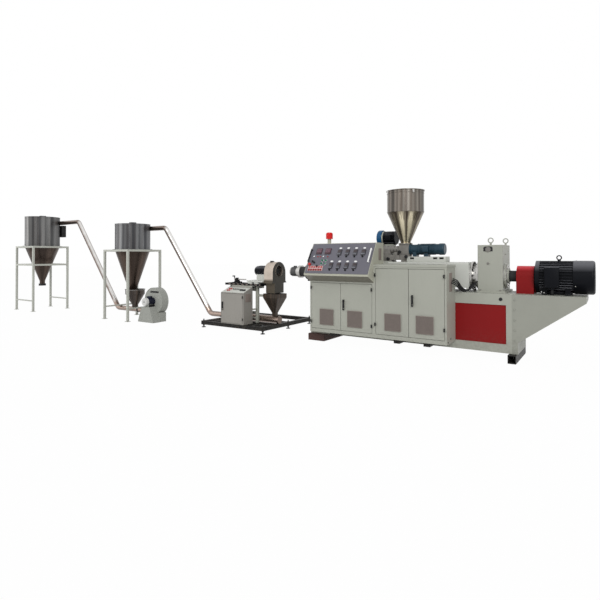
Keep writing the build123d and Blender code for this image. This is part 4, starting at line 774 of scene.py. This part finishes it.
# Fittings of the extruder
def hopper_fittings():
    """The hopper's rolled rims, seams, neck bolts and clamps, and the grips on its lid."""
    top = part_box("hopper")[1][2]
    centre = Vector((*middle("hopper"), 0.0))
    radius = 0.318
    upright = along("Z", centre)
    form = Form()
    form.ring(radius - 0.001, radius + 0.006, top - 0.05, top - 0.042, upright)
    form.ring(radius - 0.001, radius + 0.005, HOPPER_RING, HOPPER_RING + 0.008, upright)
    for angle in (0.6, 2.7, 4.8):
        form.seam(centre, radius, HOPPER_RING + 0.012, top - 0.052, angle)
    form.piece("hopper_beads", "hopper")
    Form().bolts(centre + Vector((0, 0, 1.798)), "Z", 0.093, 8, 0.008).piece("hopper_neck_bolts", "bright")
    for turn in spokes(upright @ Matrix.Rotation(pi / 4, 4, "Z"), 4):
        form.block((radius, -0.016, top - 0.06), (radius + 0.018, 0.016, top - 0.01), 0.002, turn)
    form.piece("hopper_clamps", "bright")
    lid_low, lid_high = [corner[2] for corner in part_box("hopper_lid")]
    for y in (-0.16, 0.16):
        for x in (-0.055, 0.055):
            form.block((x - 0.006, y - 0.006, lid_low + 0.006), (x + 0.006, y + 0.006, lid_high + 0.01),
                       0.001, upright)
        form.block((-0.062, y - 0.006, lid_high + 0.006), (0.062, y + 0.006, lid_high + 0.014), 0.003,
                   upright)
    form.piece("hopper_lid_grips", "bright")


def vessel_fittings(name, radius, z_ring):
    """A tank's rolled beads, seams and seat-ring bolts."""
    node = name + "_body"
    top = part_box(node)[1][2]
    centre = Vector((*middle(node), 0.0))
    upright = along("Z", centre)
    form = Form()
    for z in (top - 0.04, z_ring + 0.06):
        form.ring(radius - 0.001, radius + 0.005, z, z + 0.008, upright, 64)
    for angle in (0.9, 3.6):
        form.seam(centre, radius, z_ring + 0.01, top - 0.002, angle)
    form.piece(name + "_beads", name)
    form.bolts(centre + Vector((0, 0, z_ring + 0.008)), "Z", radius + 0.03, 12, 0.01, 0.2)
    form.piece(name + "_bolts", "bright")


def gearbox_fittings():
    """The gearbox's dark slots, plugs, base bolts, input flange, ribs and input coupling."""
    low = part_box("gearbox")[0]
    face = low[1] + 0.04
    x0 = low[0] + 0.006
    slot_x = x0 + 0.155
    form = Form()
    outline = [(-0.068, -0.046), (0.068, -0.046), (0.068, 0.012), (0.05, 0.03), (-0.05, 0.03),
               (-0.068, 0.012)]
    form.prism(outline, along("-Y", (slot_x, face, 1.685)), -0.003, 0.0015)
    form.block((-0.092, -0.011, -0.001), (0.08, 0.0, 0.002), 0.0005,
               along("-Y", (x0 + 0.178, low[1] + 0.001, 1.001)))
    form.piece("gearbox_dark_slots", "iron")
    form.drum(0.04, 0.0, 0.012, along("-Y", (slot_x, face, 1.668)), 24, 0.003)
    form.drum(0.02, 0.0, 0.016, along("-Y", (slot_x + 0.002, face, 1.452)), 6, 0.003)
    for x in (x0 + 0.04, x0 + 0.33):
        form.bolt(along("Z", (x, low[1] + 0.02, 1.03)), 0.016, 0.014)
    form.piece("gearbox_plugs", "cast")
    side = x0 + 0.366
    centre = on_axis(side)
    across = along("X", centre)
    form.ring(0.11, 0.178, 0.031, 0.04, across, 64, 0.002)
    form.ring(0.186, 0.196, -0.001, 0.012, across, 64, 0.003)
    form.bolts(centre + Vector((0.04, 0, 0)), "X", 0.15, 10, 0.012, 0.3)
    form.piece("input_flange_rings", "bright")
    for z, y in ((1.59, AXIS_Y + 0.02), (1.03, AXIS_Y - 0.15), (1.64, AXIS_Y + 0.25)):
        form.block((side - 0.001, y - 0.05, z), (side + 0.01, y + 0.05, z + 0.012), 0.002)
    form.piece("gearbox_ribs", "grey")
    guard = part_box("coupling_guard")[0][0]
    Form().drum(0.085, 0.04, guard - side + 0.01, across, 48, 0.004).piece("input_coupling", "iron")


def lantern_fittings():
    """Bolts round the lantern's flanges and the black cables that run from the cabinet to it."""
    low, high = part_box("lantern")
    form = Form()
    form.bolts(on_axis(low[0] + 0.034), "X", 0.195, 12, 0.015)
    form.bolts(on_axis(high[0] - 0.034), "-X", 0.195, 12, 0.015, 0.26)
    form.piece("lantern_bolts", "iron")
    end = local_box("main_cabinet")[1][0]
    for i in range(4):
        drop = 0.02 * i
        route = [at(end + 0.001, -0.5 - 0.04 * i, 1.215 - drop),
                 at(end + 0.06, -0.47 - 0.04 * i, 1.2 - drop), at(end + 0.1, -0.42 - 0.01 * i, 1.09 - drop),
                 at(end + 0.15, -0.33, 1.03 - drop * 0.4), at(end + 0.18 + 0.03 * i, -0.245, 1.04 + drop),
                 at(end + 0.2 + 0.03 * i, -0.215, 1.11 + drop)]
        rod(f"barrel_cable_{i + 1}", route, 0.009, "rubber")


def motor_fittings():
    """The drive motor's fan grille, screws, eyebolt, terminal lid, conduit and foot bolts, and a dark keel
    block that fills the gap under the motor with painted shade.
    """
    low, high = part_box("drive_motor")
    end = high[0]
    form = Form()
    face = along("X", on_axis(end - 0.001))
    for ring in range(1, 6):
        for turn in circle(face, 0.036 * ring, 6 * ring):
            form.drum(0.0105, -0.001, 0.0012, turn, 6, 0.0002)
    form.piece("fan_grille_holes", "void")
    for i in range(3):
        a = radians(90.0 + 120.0 * i)
        outward = Vector((0, cos(a), sin(a)))
        form.bolt(frame_at(on_axis(end - 0.232) + outward * 0.243, outward, (1, 0, 0)), 0.008, 0.004)
    form.piece("cowl_screws", "bright")
    x = low[0] + 0.3
    top = AXIS_Z + 0.238
    form.drum(0.022, top, top + 0.018, along("Z", (x, AXIS_Y, 0.0)), 20, 0.003)
    profile = [(0.03 + 0.008 * cos(2 * pi * i / 12), 0.008 * sin(2 * pi * i / 12)) for i in range(13)]
    form.lathe(profile, along("Y", (x, AXIS_Y, top + 0.048)), 28)
    form.piece("motor_eyebolt", "motor")
    box_low = Vector((low[0] + 0.13, low[1], AXIS_Z - 0.15))
    form.block(box_low + Vector((0.006, -0.004, 0.006)), box_low + Vector((0.184, 0.002, 0.294)), 0.004)
    for dx in (0.02, 0.17):
        for dz in (0.02, 0.28):
            form.bolt(along("-Y", box_low + Vector((dx, -0.004, dz))), 0.007, 0.004)
    form.drum(0.03, -0.03, 0.0, along("Z", box_low + Vector((0.1, 0.04, 0.0))), 20)
    form.piece("terminal_lid", "motor")
    route = ((0.1, 0.04, -0.02), (0.1, 0.038, -0.08), (0.096, 0.06, -0.11), (0.09, 0.12, -0.106))
    rod("motor_conduit", [box_low + Vector(spot) for spot in route], 0.02, "rubber")
    for dx in (0.121, 0.49):
        for side in (-1, 1):
            form.bolt(along("Z", (low[0] + dx, AXIS_Y + side * 0.195, 1.024)), 0.015, 0.014)
    form.piece("motor_foot_bolts", "bright")
    # Painted shade: a dark block fills the gap under the motor.
    form.block((low[0] + 0.09, AXIS_Y - 0.11, 0.986), (end - 0.27, AXIS_Y + 0.11, 1.045), 0.006)
    form.piece("motor_keel_shade", "motor")


def bed_fittings():
    """Panel screws, plugs and bracket bolts on the bed."""
    low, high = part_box("bed_frame")
    panel_low, panel_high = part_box("bed_panels")
    post = 0.077
    width = (high[0] - low[0] - 5 * post) / 4
    form = Form()
    for i in range(4):
        x0 = low[0] + post + i * (width + post)
        for side, y in ((-1, panel_low[1]), (1, panel_high[1])):
            for x in (x0 + 0.03, x0 + width - 0.03):
                for z in (panel_low[2] + 0.03, panel_high[2] - 0.03):
                    form.bolt(frame_at((x, y, z), (0, side, 0)), 0.008, 0.004)
    form.piece("panel_screws", "red")
    for side, y in ((-1, low[1]), (1, high[1])):
        spot = (high[0] - 0.15, y, 0.92)
        form.drum(0.026, -0.002, 0.008, frame_at(spot, (0, side, 0)), 24, 0.003)
    end = local_box("main_cabinet")[1][0]
    for y, z in ((-0.77, 0.262), (-0.64, 0.3)):
        form.drum(0.013, -0.001, 0.005, along("X", at(end, y, z)), 20)
    form.piece("bed_plugs", "rubber")
    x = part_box("motor_bracket")[0][0] + 0.04
    for i in range(5):
        for y, side in ((low[1], -1), (high[1], 1)):
            form.bolt(frame_at((x, y, 0.32 + i * 0.15), (0, side, 0)), 0.013, 0.01)
    form.piece("bracket_bolts", "bracket")


hopper_fittings()
vessel_fittings("silo", 0.465, SILO_RING)
vessel_fittings("cyclone", 0.425, CYCLONE_RING)
gearbox_fittings()
lantern_fittings()
motor_fittings()
bed_fittings()


def feeder_fittings():
    """Bolts, castings, rings and knobs on the metering feeder, and its drive's fins and terminal box."""
    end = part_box("feeder_housing")[0][0]
    z = 1.685
    form = Form()
    form.bolts(Vector((end, AXIS_Y, z)), "-X", 0.078, 6, 0.008, 0.5)
    for side in (-1, 1):
        for dx in (-0.075, 0.0, 0.075):
            form.bolt(along("Z", at(1.472 + dx, side * 0.1, 1.79)), 0.008, 0.006)
            form.bolt(along("Z", at(1.14 + dx, side * 0.085, 1.494)), 0.008, 0.006)
    form.piece("feeder_bolts", "bright")
    form.block(at(1.06, -0.096, 1.5), at(1.383, 0.096, 1.59), 0.01)
    form.block(at(1.383, -0.084, 1.5), at(1.561, 0.084, 1.605), 0.01)
    form.block(at(1.12, -0.104, 1.52), at(1.18, 0.104, 1.64), 0.006)
    form.block(at(1.29, -0.104, 1.52), at(1.35, 0.104, 1.64), 0.006)
    form.piece("feeder_castings", "cast")
    for x in (1.15, 1.21, 1.27, 1.33):
        form.ring(0.061, 0.068, -0.006, 0.006, along("X", at(x, 0.0, z)), 40, 0.001)
    form.piece("feeder_tube_rings", "band")
    for x, y, h in ((1.2, -0.11, 1.52), (1.41, -0.095, 1.64), (1.53, -0.095, 1.56)):
        turn = along("-Y", at(x, y, h))
        form.drum(0.012, -0.03, 0.03, turn, 16)
        form.drum(0.03, 0.028, 0.052, turn, 24, 0.006)
    form.piece("feeder_knobs", "rubber")
    start = local_box("feeder_drive")[0][0]
    for i in range(14):
        x = start + 0.19 + i * 0.019
        form.ring(0.088, 0.097, -0.003, 0.003, along("X", at(x, 0.0, z)), 40, 0.001)
    for x in (start + 0.016, start + 0.148):
        form.ring(0.08, 0.097, -0.008, 0.008, along("X", at(x, 0.0, z)), 40, 0.002)
    form.block(at(start + 0.24, -0.13, z - 0.045), at(start + 0.35, -0.08, z + 0.05), 0.006)
    form.piece("feeder_drive_fins", "teal")
    form.block(at(0.99, -0.078, z - 0.072), at(1.052, 0.078, z + 0.07), 0.006)
    form.piece("feeder_bearing_cap", "void")


def pump_fittings():
    """The vacuum pump's cover ribs, its pale band, its fins and terminal box."""
    y = 0.3
    z = 1.905
    form = Form()
    for turn in spokes(along("X", at(0.835, y, z)), 8):
        form.block((0.04, -0.006, -0.0015), (0.126, 0.006, 0.004), 0.001, turn)
    form.piece("pump_cover_ribs", "blue")
    Form().ring(0.1, 0.132, 0.0, 0.022, along("X", at(0.93, y, z)), 48, 0.002).piece("pump_band", "desk")
    for i in range(11):
        form.ring(0.117, 0.127, -0.0022, 0.0022, along("X", at(0.968 + i * 0.02, y, z)), 44, 0.0006)
    form.block(at(1.02, y - 0.15, z - 0.045), at(1.12, y - 0.105, z + 0.055), 0.006)
    form.piece("pump_fins", "motor")


FIRST_BAND = -0.522
BAND_PITCH = 0.218


def die_fittings():
    """The die's bolts, strand holes and heater, the heater bands' terminals, and the clamp ring."""
    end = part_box("die_head")[0][0]
    Form().bolts(on_axis(end + 0.2), "-X", 0.108, 8, 0.011, 0.2).piece("die_bolts", "iron")
    face = along("-X", on_axis(end))
    form = Form()
    for ring in range(2):
        for turn in circle(face, 0.05 + 0.014 * ring, 24, ring * pi / 24):
            form.drum(0.003, -0.001, 0.0008, turn, 8, 0.0002)
    form.piece("strand_holes", "void")
    form.ring(0.0895, 0.097, -0.15, -0.03, face, 48, 0.002)
    form.block((-0.022, 0.088, -0.12), (0.022, 0.118, -0.06), 0.003, face)
    form.piece("die_heater", "dull")
    pins = Form()
    for i in range(7):
        x0 = FIRST_BAND + i * BAND_PITCH
        form.block(at(x0 + 0.05, -0.022, AXIS_Z + 0.118), at(x0 + 0.1, 0.022, AXIS_Z + 0.15), 0.003)
        form.block(at(x0 + 0.004, -0.14, AXIS_Z - 0.014), at(x0 + 0.146, -0.114, AXIS_Z + 0.014), 0.002)
        for dx in (0.03, 0.12):
            pins.bolt(along("Z", at(x0 + dx, -0.128, AXIS_Z + 0.012)), 0.008, 0.01)
    form.piece("band_terminals", "band")
    pins.piece("band_screws", "bright")
    form.ring(0.149, 0.153, -0.017, 0.017, along("X", at(-0.571, 0.0, AXIS_Z)), 64, 0.002)
    for y in (-0.012, 0.012):
        form.block(at(-0.588, y - 0.008, AXIS_Z - 0.185), at(-0.554, y + 0.008, AXIS_Z - 0.145), 0.003)
    form.piece("clamp_ring_band", "iron")


# Cutter unit, pipes and blower
PCAB_FRONT = -0.578


def cutter_cabinet_fittings():
    """The cutter cabinet's switches on the sloped top, its hinge barrels, handle and side louvre."""
    x0 = local_box("cutter_cabinet")[0][0]
    depth = 0.29
    rise = 0.116
    slope = sqrt(depth * depth + rise * rise)
    up = Vector((0, depth, rise)) / slope
    out = Vector((0, -rise, depth)) / slope

    def on_top(u, v):
        return from_axes(at(x0 + u, PCAB_FRONT, 0.8) + up * v, Vector((1, 0, 0)), up, out)

    form = Form()
    form.block((0.01, 0.012, 0.0), (0.63, slope - 0.05, 0.004), 0.001, on_top(0.0, 0.0))
    form.piece("cutter_panel", "white")
    for u, v in ((0.11, 0.17), (0.11, 0.095), (0.165, 0.17), (0.165, 0.095)):
        form.drum(0.018, 0.004, 0.022, on_top(u, v), 20)
    form.piece("cutter_red_buttons", "lamp_red")
    for i in range(4):
        matrix = on_top(0.24 + 0.05 * i, 0.15)
        form.drum(0.013, 0.004, 0.024, matrix, 20)
        form.block((-0.003, -0.013, 0.02), (0.003, 0.013, 0.028), 0.001, matrix)
    for i in range(3):
        form.drum(0.024, 0.004, 0.03, on_top(0.47 + 0.052 * i, 0.12), 24, 0.005)
    form.piece("cutter_dark_knobs", "rubber")
    foot = 0.161
    top = 0.784
    hinge_covers("cutter_door", x0 + 0.614, foot, top, PCAB_FRONT)
    swing_handle("cutter_door", x0 + 0.05, (foot + top) / 2 + 0.04, PCAB_FRONT)
    side_louvre("cutter_side_louvre", x0 + 0.64, PCAB_FRONT + 0.06, 0.61, 0.17, 0.17)


HOOD_X = (-1.552, -1.322)
HOOD_ARC_R = 0.225
HOOD_ARC_Z = 1.225
HOOD_STEP_Z = 1.005
HOOD_FLARE = 0.258
HOOD_MOUTH_R = 0.118
CHUTE_HALF = 0.158
CHUTE_FOOT = 0.792


def hood_outline():
    """The hood seen from the die: a drum, straight cheeks that flare out over a step, and the chute."""
    arc = [(HOOD_ARC_R * cos(pi * i / 32), HOOD_ARC_Z + HOOD_ARC_R * sin(pi * i / 32)) for i in range(33)]
    left = [(-HOOD_ARC_R, HOOD_STEP_Z + 0.04), (-HOOD_FLARE, HOOD_STEP_Z),
            (-CHUTE_HALF, HOOD_STEP_Z - 0.004), (-CHUTE_HALF, CHUTE_FOOT)]
    right = [(-y, z) for y, z in reversed(left)]
    return arc + left + right


def plate_with_hole(bm, x, outline, hole_r):
    """A flat plate at x with a round hole about the screw's axis; gives back the outline's vertices."""
    rim = [bm.verts.new(at(x, y, z)) for y, z in outline]
    hole = [bm.verts.new(at(x, hole_r * cos(2 * pi * i / 40), AXIS_Z + hole_r * sin(2 * pi * i / 40)))
            for i in range(40)]
    edges = [bm.edges.new((ring[i], ring[(i + 1) % len(ring)])) for ring in (rim, hole)
             for i in range(len(ring))]
    bmesh.ops.triangle_fill(bm, use_beauty=True, edges=edges)
    return rim


def cutter_hood():
    """The sheet hood in its outline: drum, cheeks, flare and chute, open below and at the mouth."""
    outline = hood_outline()
    form = Form()
    back = plate_with_hole(form.bm, HOOD_X[0], outline, 0.027)
    front = plate_with_hole(form.bm, HOOD_X[1], outline, HOOD_MOUTH_R)
    foot = outline.index((-CHUTE_HALF, CHUTE_FOOT))
    for i in range(len(outline)):
        j = (i + 1) % len(outline)
        if i != foot:
            form.bm.faces.new((back[i], back[j], front[j], front[i]))
    bmesh.ops.recalc_face_normals(form.bm, faces=form.bm.faces)
    bmesh.ops.solidify(form.bm, geom=form.bm.faces[:], thickness=0.004)
    hood = form.piece("cutter_hood_sheet", "hood", CARRIAGE)
    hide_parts("cutter_hood")


def cutter_stand():
    """The cutter's painted stand: rear posts, side beams under the rails, ties and the funnel's arm."""
    post = 0.06
    y_post = -0.14
    cab = local_box("cutter_cabinet")
    left = cab[0][0]
    right = cab[1][0] + 0.043
    y_front = -0.288
    form = Form()
    for x in (left, right - post):
        form.block(at(x, y_post - post / 2, 0.145), at(x + post, y_post + post / 2, 0.88), 0.004)
        form.block(at(x, y_front, 0.88), at(x + post, 0.05, 0.94), 0.004)
        form.block(at(x + 0.015, y_front, 0.43), at(x + 0.045, y_post - post / 2 + 0.001, 0.46), 0.003)
    form.block(at(left, y_front, 0.8805), at(right, y_front + post, 0.9395), 0.004)
    form.block(at(left, y_post, 0.82), at(right, y_post + 0.03, 0.88), 0.004)
    for z in (0.23, 0.36):
        form.block(at(left + 0.01, y_post - 0.015, z), at(right - 0.01, y_post + 0.015, z + 0.03), 0.003)
    arm_end = local_box("granule_funnel")[0][0]
    form.block(at(right - 0.04, y_post - 0.01, 0.708), at(arm_end, y_post + 0.03, 0.758), 0.003)
    stand = form.piece("cutter_stand_frame", "grey")
    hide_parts("cutter_stand")


def feeder_platform():
    """The folded platform under the feeder's drive, with slots along both sides."""
    low, high = local_box("feeder_plate")
    form = Form().block(at(low[0], -0.118, low[2]), at(high[0], 0.118, 1.56), 0.004)
    platform = form.piece("feeder_platform", "white")
    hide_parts("feeder_plate")
    for x in (low[0] + 0.06, high[0] - 0.21, high[0] - 0.104):
        for y in (-0.1185, 0.1185):
            form.block(at(x, y - 0.0006, 1.515), at(x + 0.07, y + 0.0006, 1.547), 0.0003)
    form.piece("feeder_plate_slots", "void")


def slide_fittings():
    """Bolts and slots on the slide's rails, and the slide's screw with its crank."""
    low, high = local_box("slide_rails")
    form = Form()
    slots = Form()
    for y in (-0.23, 0.01):
        for i in range(8):
            x = low[0] + 0.07 + i * 0.125
            form.bolt(along("Z", at(x, y, 0.985)), 0.009, 0.007)
            slot_end = min(x + 0.09, high[0] - 0.012)
            slots.block(at(x + 0.03, y - 0.0206, 0.952), at(slot_end, y - 0.0198, 0.972), 0.0003)
    form.piece("rail_bolts", "bright")
    slots.piece("rail_slots", "taupe")
    screw = along("X", at(low[0] + 0.16, -0.11, 1.06))
    form.drum(0.014, 0.0, 0.33, screw, 16)
    form.drum(0.024, 0.0, 0.016, screw, 20)
    form.piece("carriage_screw", "bright")
    turn = screw @ Matrix.Rotation(1.5, 4, "Z")
    form.block((-0.012, -0.012, -0.014), (0.082, 0.012, -0.002), 0.004, turn)
    form.drum(0.013, 0.0, 0.06, turn @ Matrix.Translation((0.068, 0, -0.07)), 16, 0.004)
    form.piece("screw_crank", "iron")


def cutter_fittings():
    """The cutter motor's fins, and the hood's ring, bolts and latch. They ride on the carriage."""
    form = Form()
    motor = along("X", on_axis(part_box("cutter_motor")[0][0]))
    for turn in spokes(motor, 26):
        form.block((0.098, -0.0018, 0.11), (0.1115, 0.0018, 0.33), 0.0005, turn)
    form.ring(0.104, 0.118, 0.372, 0.396, motor, 48, 0.002)
    form.piece("cutter_motor_fins", "motor", CARRIAGE)
    low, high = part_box("cutter_hood")
    form.ring(0.113, 0.132, -0.003, 0.01, along("X", on_axis(high[0])), 64, 0.002)
    form.piece("hood_mouth_ring", "hood", CARRIAGE)
    form.bolts(on_axis(high[0] - 0.002), "X", 0.152, 8, 0.007, 0.3)
    form.bolts(on_axis(low[0]), "-X", 0.155, 8, 0.008, 0.3)
    form.piece("hood_bolts", "dull", CARRIAGE)
    top = HOOD_ARC_Z + HOOD_ARC_R
    for x, reach, y0, y1, z0, z1 in ((0.03, 0.06, -0.05, 0.02, -0.006, 0.014),
                                     (0.045, 0.03, -0.075, 0.01, -0.016, 0.022)):
        x += low[0]
        form.block((x, AXIS_Y + y0, top + z0), (x + reach, AXIS_Y + y1, top + z1), 0.004)
    form.piece("hood_latch", "iron", CARRIAGE)


def foot_nuts():
    """Nuts and threads on the cutter's levelling feet."""
    form = Form()
    low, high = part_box("cutter_base")
    for x in (low[0] + 0.045, high[0] - 0.045):
        for y in (low[1] + 0.045, AXIS_Y + 0.339, high[1] - 0.045):
            form.drum(0.026, 0.04, 0.058, along("Z", (x, y, 0.0)), 6)
            form.drum(0.022, 0.145, 0.158, along("Z", (x, y, 0.0)), 6)
            form.drum(0.013, 0.15, 0.185, along("Z", (x, y, 0.0)), 14)
    form.piece("foot_nuts", "dull")


def pipe_fittings():
    """Couplings on the conveying pipes, and a clamp with its lever."""
    form = Form()
    for x in (-2.64, -2.42):
        form.ring(0.0595, 0.07, -0.03, 0.03, along("X", at(x, 0.0, 0.2253)), 40, 0.003)
    for x in (-5.36, -4.96):
        form.ring(0.0595, 0.068, -0.022, 0.022, along("X", at(x, -0.505, 0.235)), 40, 0.003)
    form.piece("pipe_couplings", "iron")
    form.block(at(-2.7, -0.09, 0.2), at(-2.56, -0.058, 0.25), 0.004)
    turn = frame_at(at(-2.63, -0.09, 0.24), (0.3, -0.4, 0.8), (0, 1, 0))
    form.drum(0.008, 0.0, 0.12, turn, 12)
    form.drum(0.014, 0.11, 0.14, turn, 16, 0.005)
    form.piece("pipe_clamp_lever", "iron")


def blower_fittings():
    """The blower's scroll rims, bolts and slot, and its motor's fins, fan cover and foot, a black block
    that also stands in for the shade under the motor.
    """
    centre = at(-4.68, -0.6, 0.49)
    front = along("-Y", centre)
    form = Form()
    form.ring(0.318, 0.327, -0.012, 0.004, front, 64, 0.002)
    form.ring(0.318, 0.327, -0.194, -0.178, front, 64, 0.002)
    form.ring(0.095, 0.15, -0.002, 0.006, front, 48, 0.002)
    form.piece("blower_rims", "blower")
    form.bolts(centre, "-Y", 0.13, 8, 0.008, 0.3)
    form.bolts(centre, "-Y", 0.3, 10, 0.007, 0.3)
    form.piece("blower_bolts", "blower")
    Form().block((-0.1, 0.2, 0.0), (0.2, 0.245, 0.004), 0.0015, front).piece("blower_slot", "iron")
    for turn in spokes(front, 22):
        form.block((0.08, -0.0016, 0.03), (0.091, 0.0016, 0.18), 0.0005, turn)
    form.block((-0.045, 0.08, 0.06), (0.045, 0.128, 0.16), 0.005, front)
    form.piece("blower_motor_fins", "navy")
    form.ring(0.0846, 0.092, 0.186, 0.262, front, 48, 0.004)
    form.ring(0.02, 0.086, 0.2615, 0.2635, front, 48, 0.0005)
    form.piece("blower_fan_cover", "shell")
    # Partly the motor's foot and partly painted shade: a black block under the blower motor.
    form.block((-0.07, -0.125, 0.02), (0.07, -0.07, 0.17), 0.006, front)
    form.piece("blower_motor_foot_and_shade", "rubber")


def bowl_rim():
    """The rolled edge round the top of the feed bowl."""
    low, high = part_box("feed_bowl")
    radius = (high[0] - low[0]) / 2
    rim = along("Z", (*middle("feed_bowl"), high[2]))
    form = Form()
    form.ring(radius - 0.01, radius, -0.016, -0.0002, rim, 64, 0.003)
    form.piece("bowl_rim", "bright")


feeder_fittings()
pump_fittings()
die_fittings()
cutter_cabinet_fittings()
side_louvre("main_end_louvre", 2.431, -0.7, 1.02, 0.15, 0.29)
side_louvre("desk_cheek_louvre", 1.242, -0.64, 1.5, 0.11, 0.2)
cutter_hood()
cutter_stand()
feeder_platform()
slide_fittings()
cutter_fittings()
foot_nuts()
pipe_fittings()
blower_fittings()
bowl_rim()


# Floor, light and camera
FLOOR_REACH = 60.0
FLOOR_COLOUR = (0.8, 0.8, 0.8, 1.0)
FLOOR_WHITE_SHARE = 0.98
SURROUND_LIGHT = 0.52
WHITE = (1.0, 1.0, 1.0, 1.0)
EYE = (7.4065, -7.646, 1.57)
PAN = 34.24
TILT = 90.68
ROLL = -0.106


def seen_as_white(nodes, *kinds):
    """1 for the kinds of ray that see a white surround, 0 for the rays that carry light."""
    path = nodes.add("ShaderNodeLightPath")
    total = 0.0
    for kind in kinds:
        total = nodes.maths("MAXIMUM", total, path.outputs[f"Is {kind} Ray"])
    return total


def pale_floor():
    """A pale floor that the camera and bright metal see as nearly white."""
    reach = FLOOR_REACH
    mesh = bpy.data.meshes.new("floor")
    mesh.from_pydata([(-reach, -reach, 0), (reach, -reach, 0), (reach, reach, 0), (-reach, reach, 0)], [],
                     [(0, 1, 2, 3)])
    mat = bpy.data.materials.new("pale floor")
    mat.use_nodes = True
    nodes = Nodes(mat.node_tree)
    nodes.tree.nodes.clear()
    share = nodes.maths("MULTIPLY", seen_as_white(nodes, "Camera", "Glossy"), FLOOR_WHITE_SHARE)
    mix = nodes.add("ShaderNodeMixShader", Fac=share)
    diffuse = nodes.add("ShaderNodeBsdfDiffuse", Color=FLOOR_COLOUR)
    nodes.feed(mix.inputs[1], diffuse.outputs[0])
    nodes.feed(mix.inputs[2], nodes.add("ShaderNodeEmission").outputs[0])
    nodes.add("ShaderNodeOutputMaterial", Surface=mix.outputs[0])
    mesh.materials.append(mat)
    add_object("floor", mesh)


def surround():
    """A white surround for what the camera and bright metal see, and a dimmer one that lights the rest."""
    world = bpy.data.worlds.new("surround")
    bpy.context.scene.world = world
    world.use_nodes = True
    nodes = Nodes(world.node_tree)
    nodes.tree.nodes.clear()
    white = seen_as_white(nodes, "Camera", "Glossy", "Transmission")
    level = nodes.span(white, 0.0, 1.0, SURROUND_LIGHT, 1.0)
    back = nodes.add("ShaderNodeBackground", Color=WHITE, Strength=level)
    nodes.add("ShaderNodeOutputWorld", Surface=back.outputs[0])


def suns():
    """A plain soft key and a wide fill."""
    for name, strength, spread, turn in (("key sun", 1.45, 30.0, (63.0, 0.0, 30.0)),
                                         ("fill sun", 0.45, 60.0, (70.0, 0.0, -60.0))):
        lamp = bpy.data.lights.new(name, "SUN")
        lamp.energy = strength
        lamp.angle = radians(spread)
        add_object(name, lamp).rotation_euler = [radians(t) for t in turn]


def camera():
    """The photograph's view: eye height, turned towards the silo, with the horizon above the middle."""
    data = bpy.data.cameras.new("camera")
    data.sensor_width = 36.0
    data.lens = 27.2
    data.shift_y = -0.082
    data.clip_end = 200.0
    obj = add_object("camera", data)
    turn = Matrix.Rotation(radians(PAN), 4, "Z") @ Matrix.Rotation(radians(TILT), 4, "X")
    obj.matrix_world = Matrix.Translation(EYE) @ turn @ Matrix.Rotation(radians(ROLL), 4, "Z")
    bpy.context.scene.camera = obj


pale_floor()
surround()
suns()
camera()
bpy.context.scene.view_settings.view_transform = "Standard"
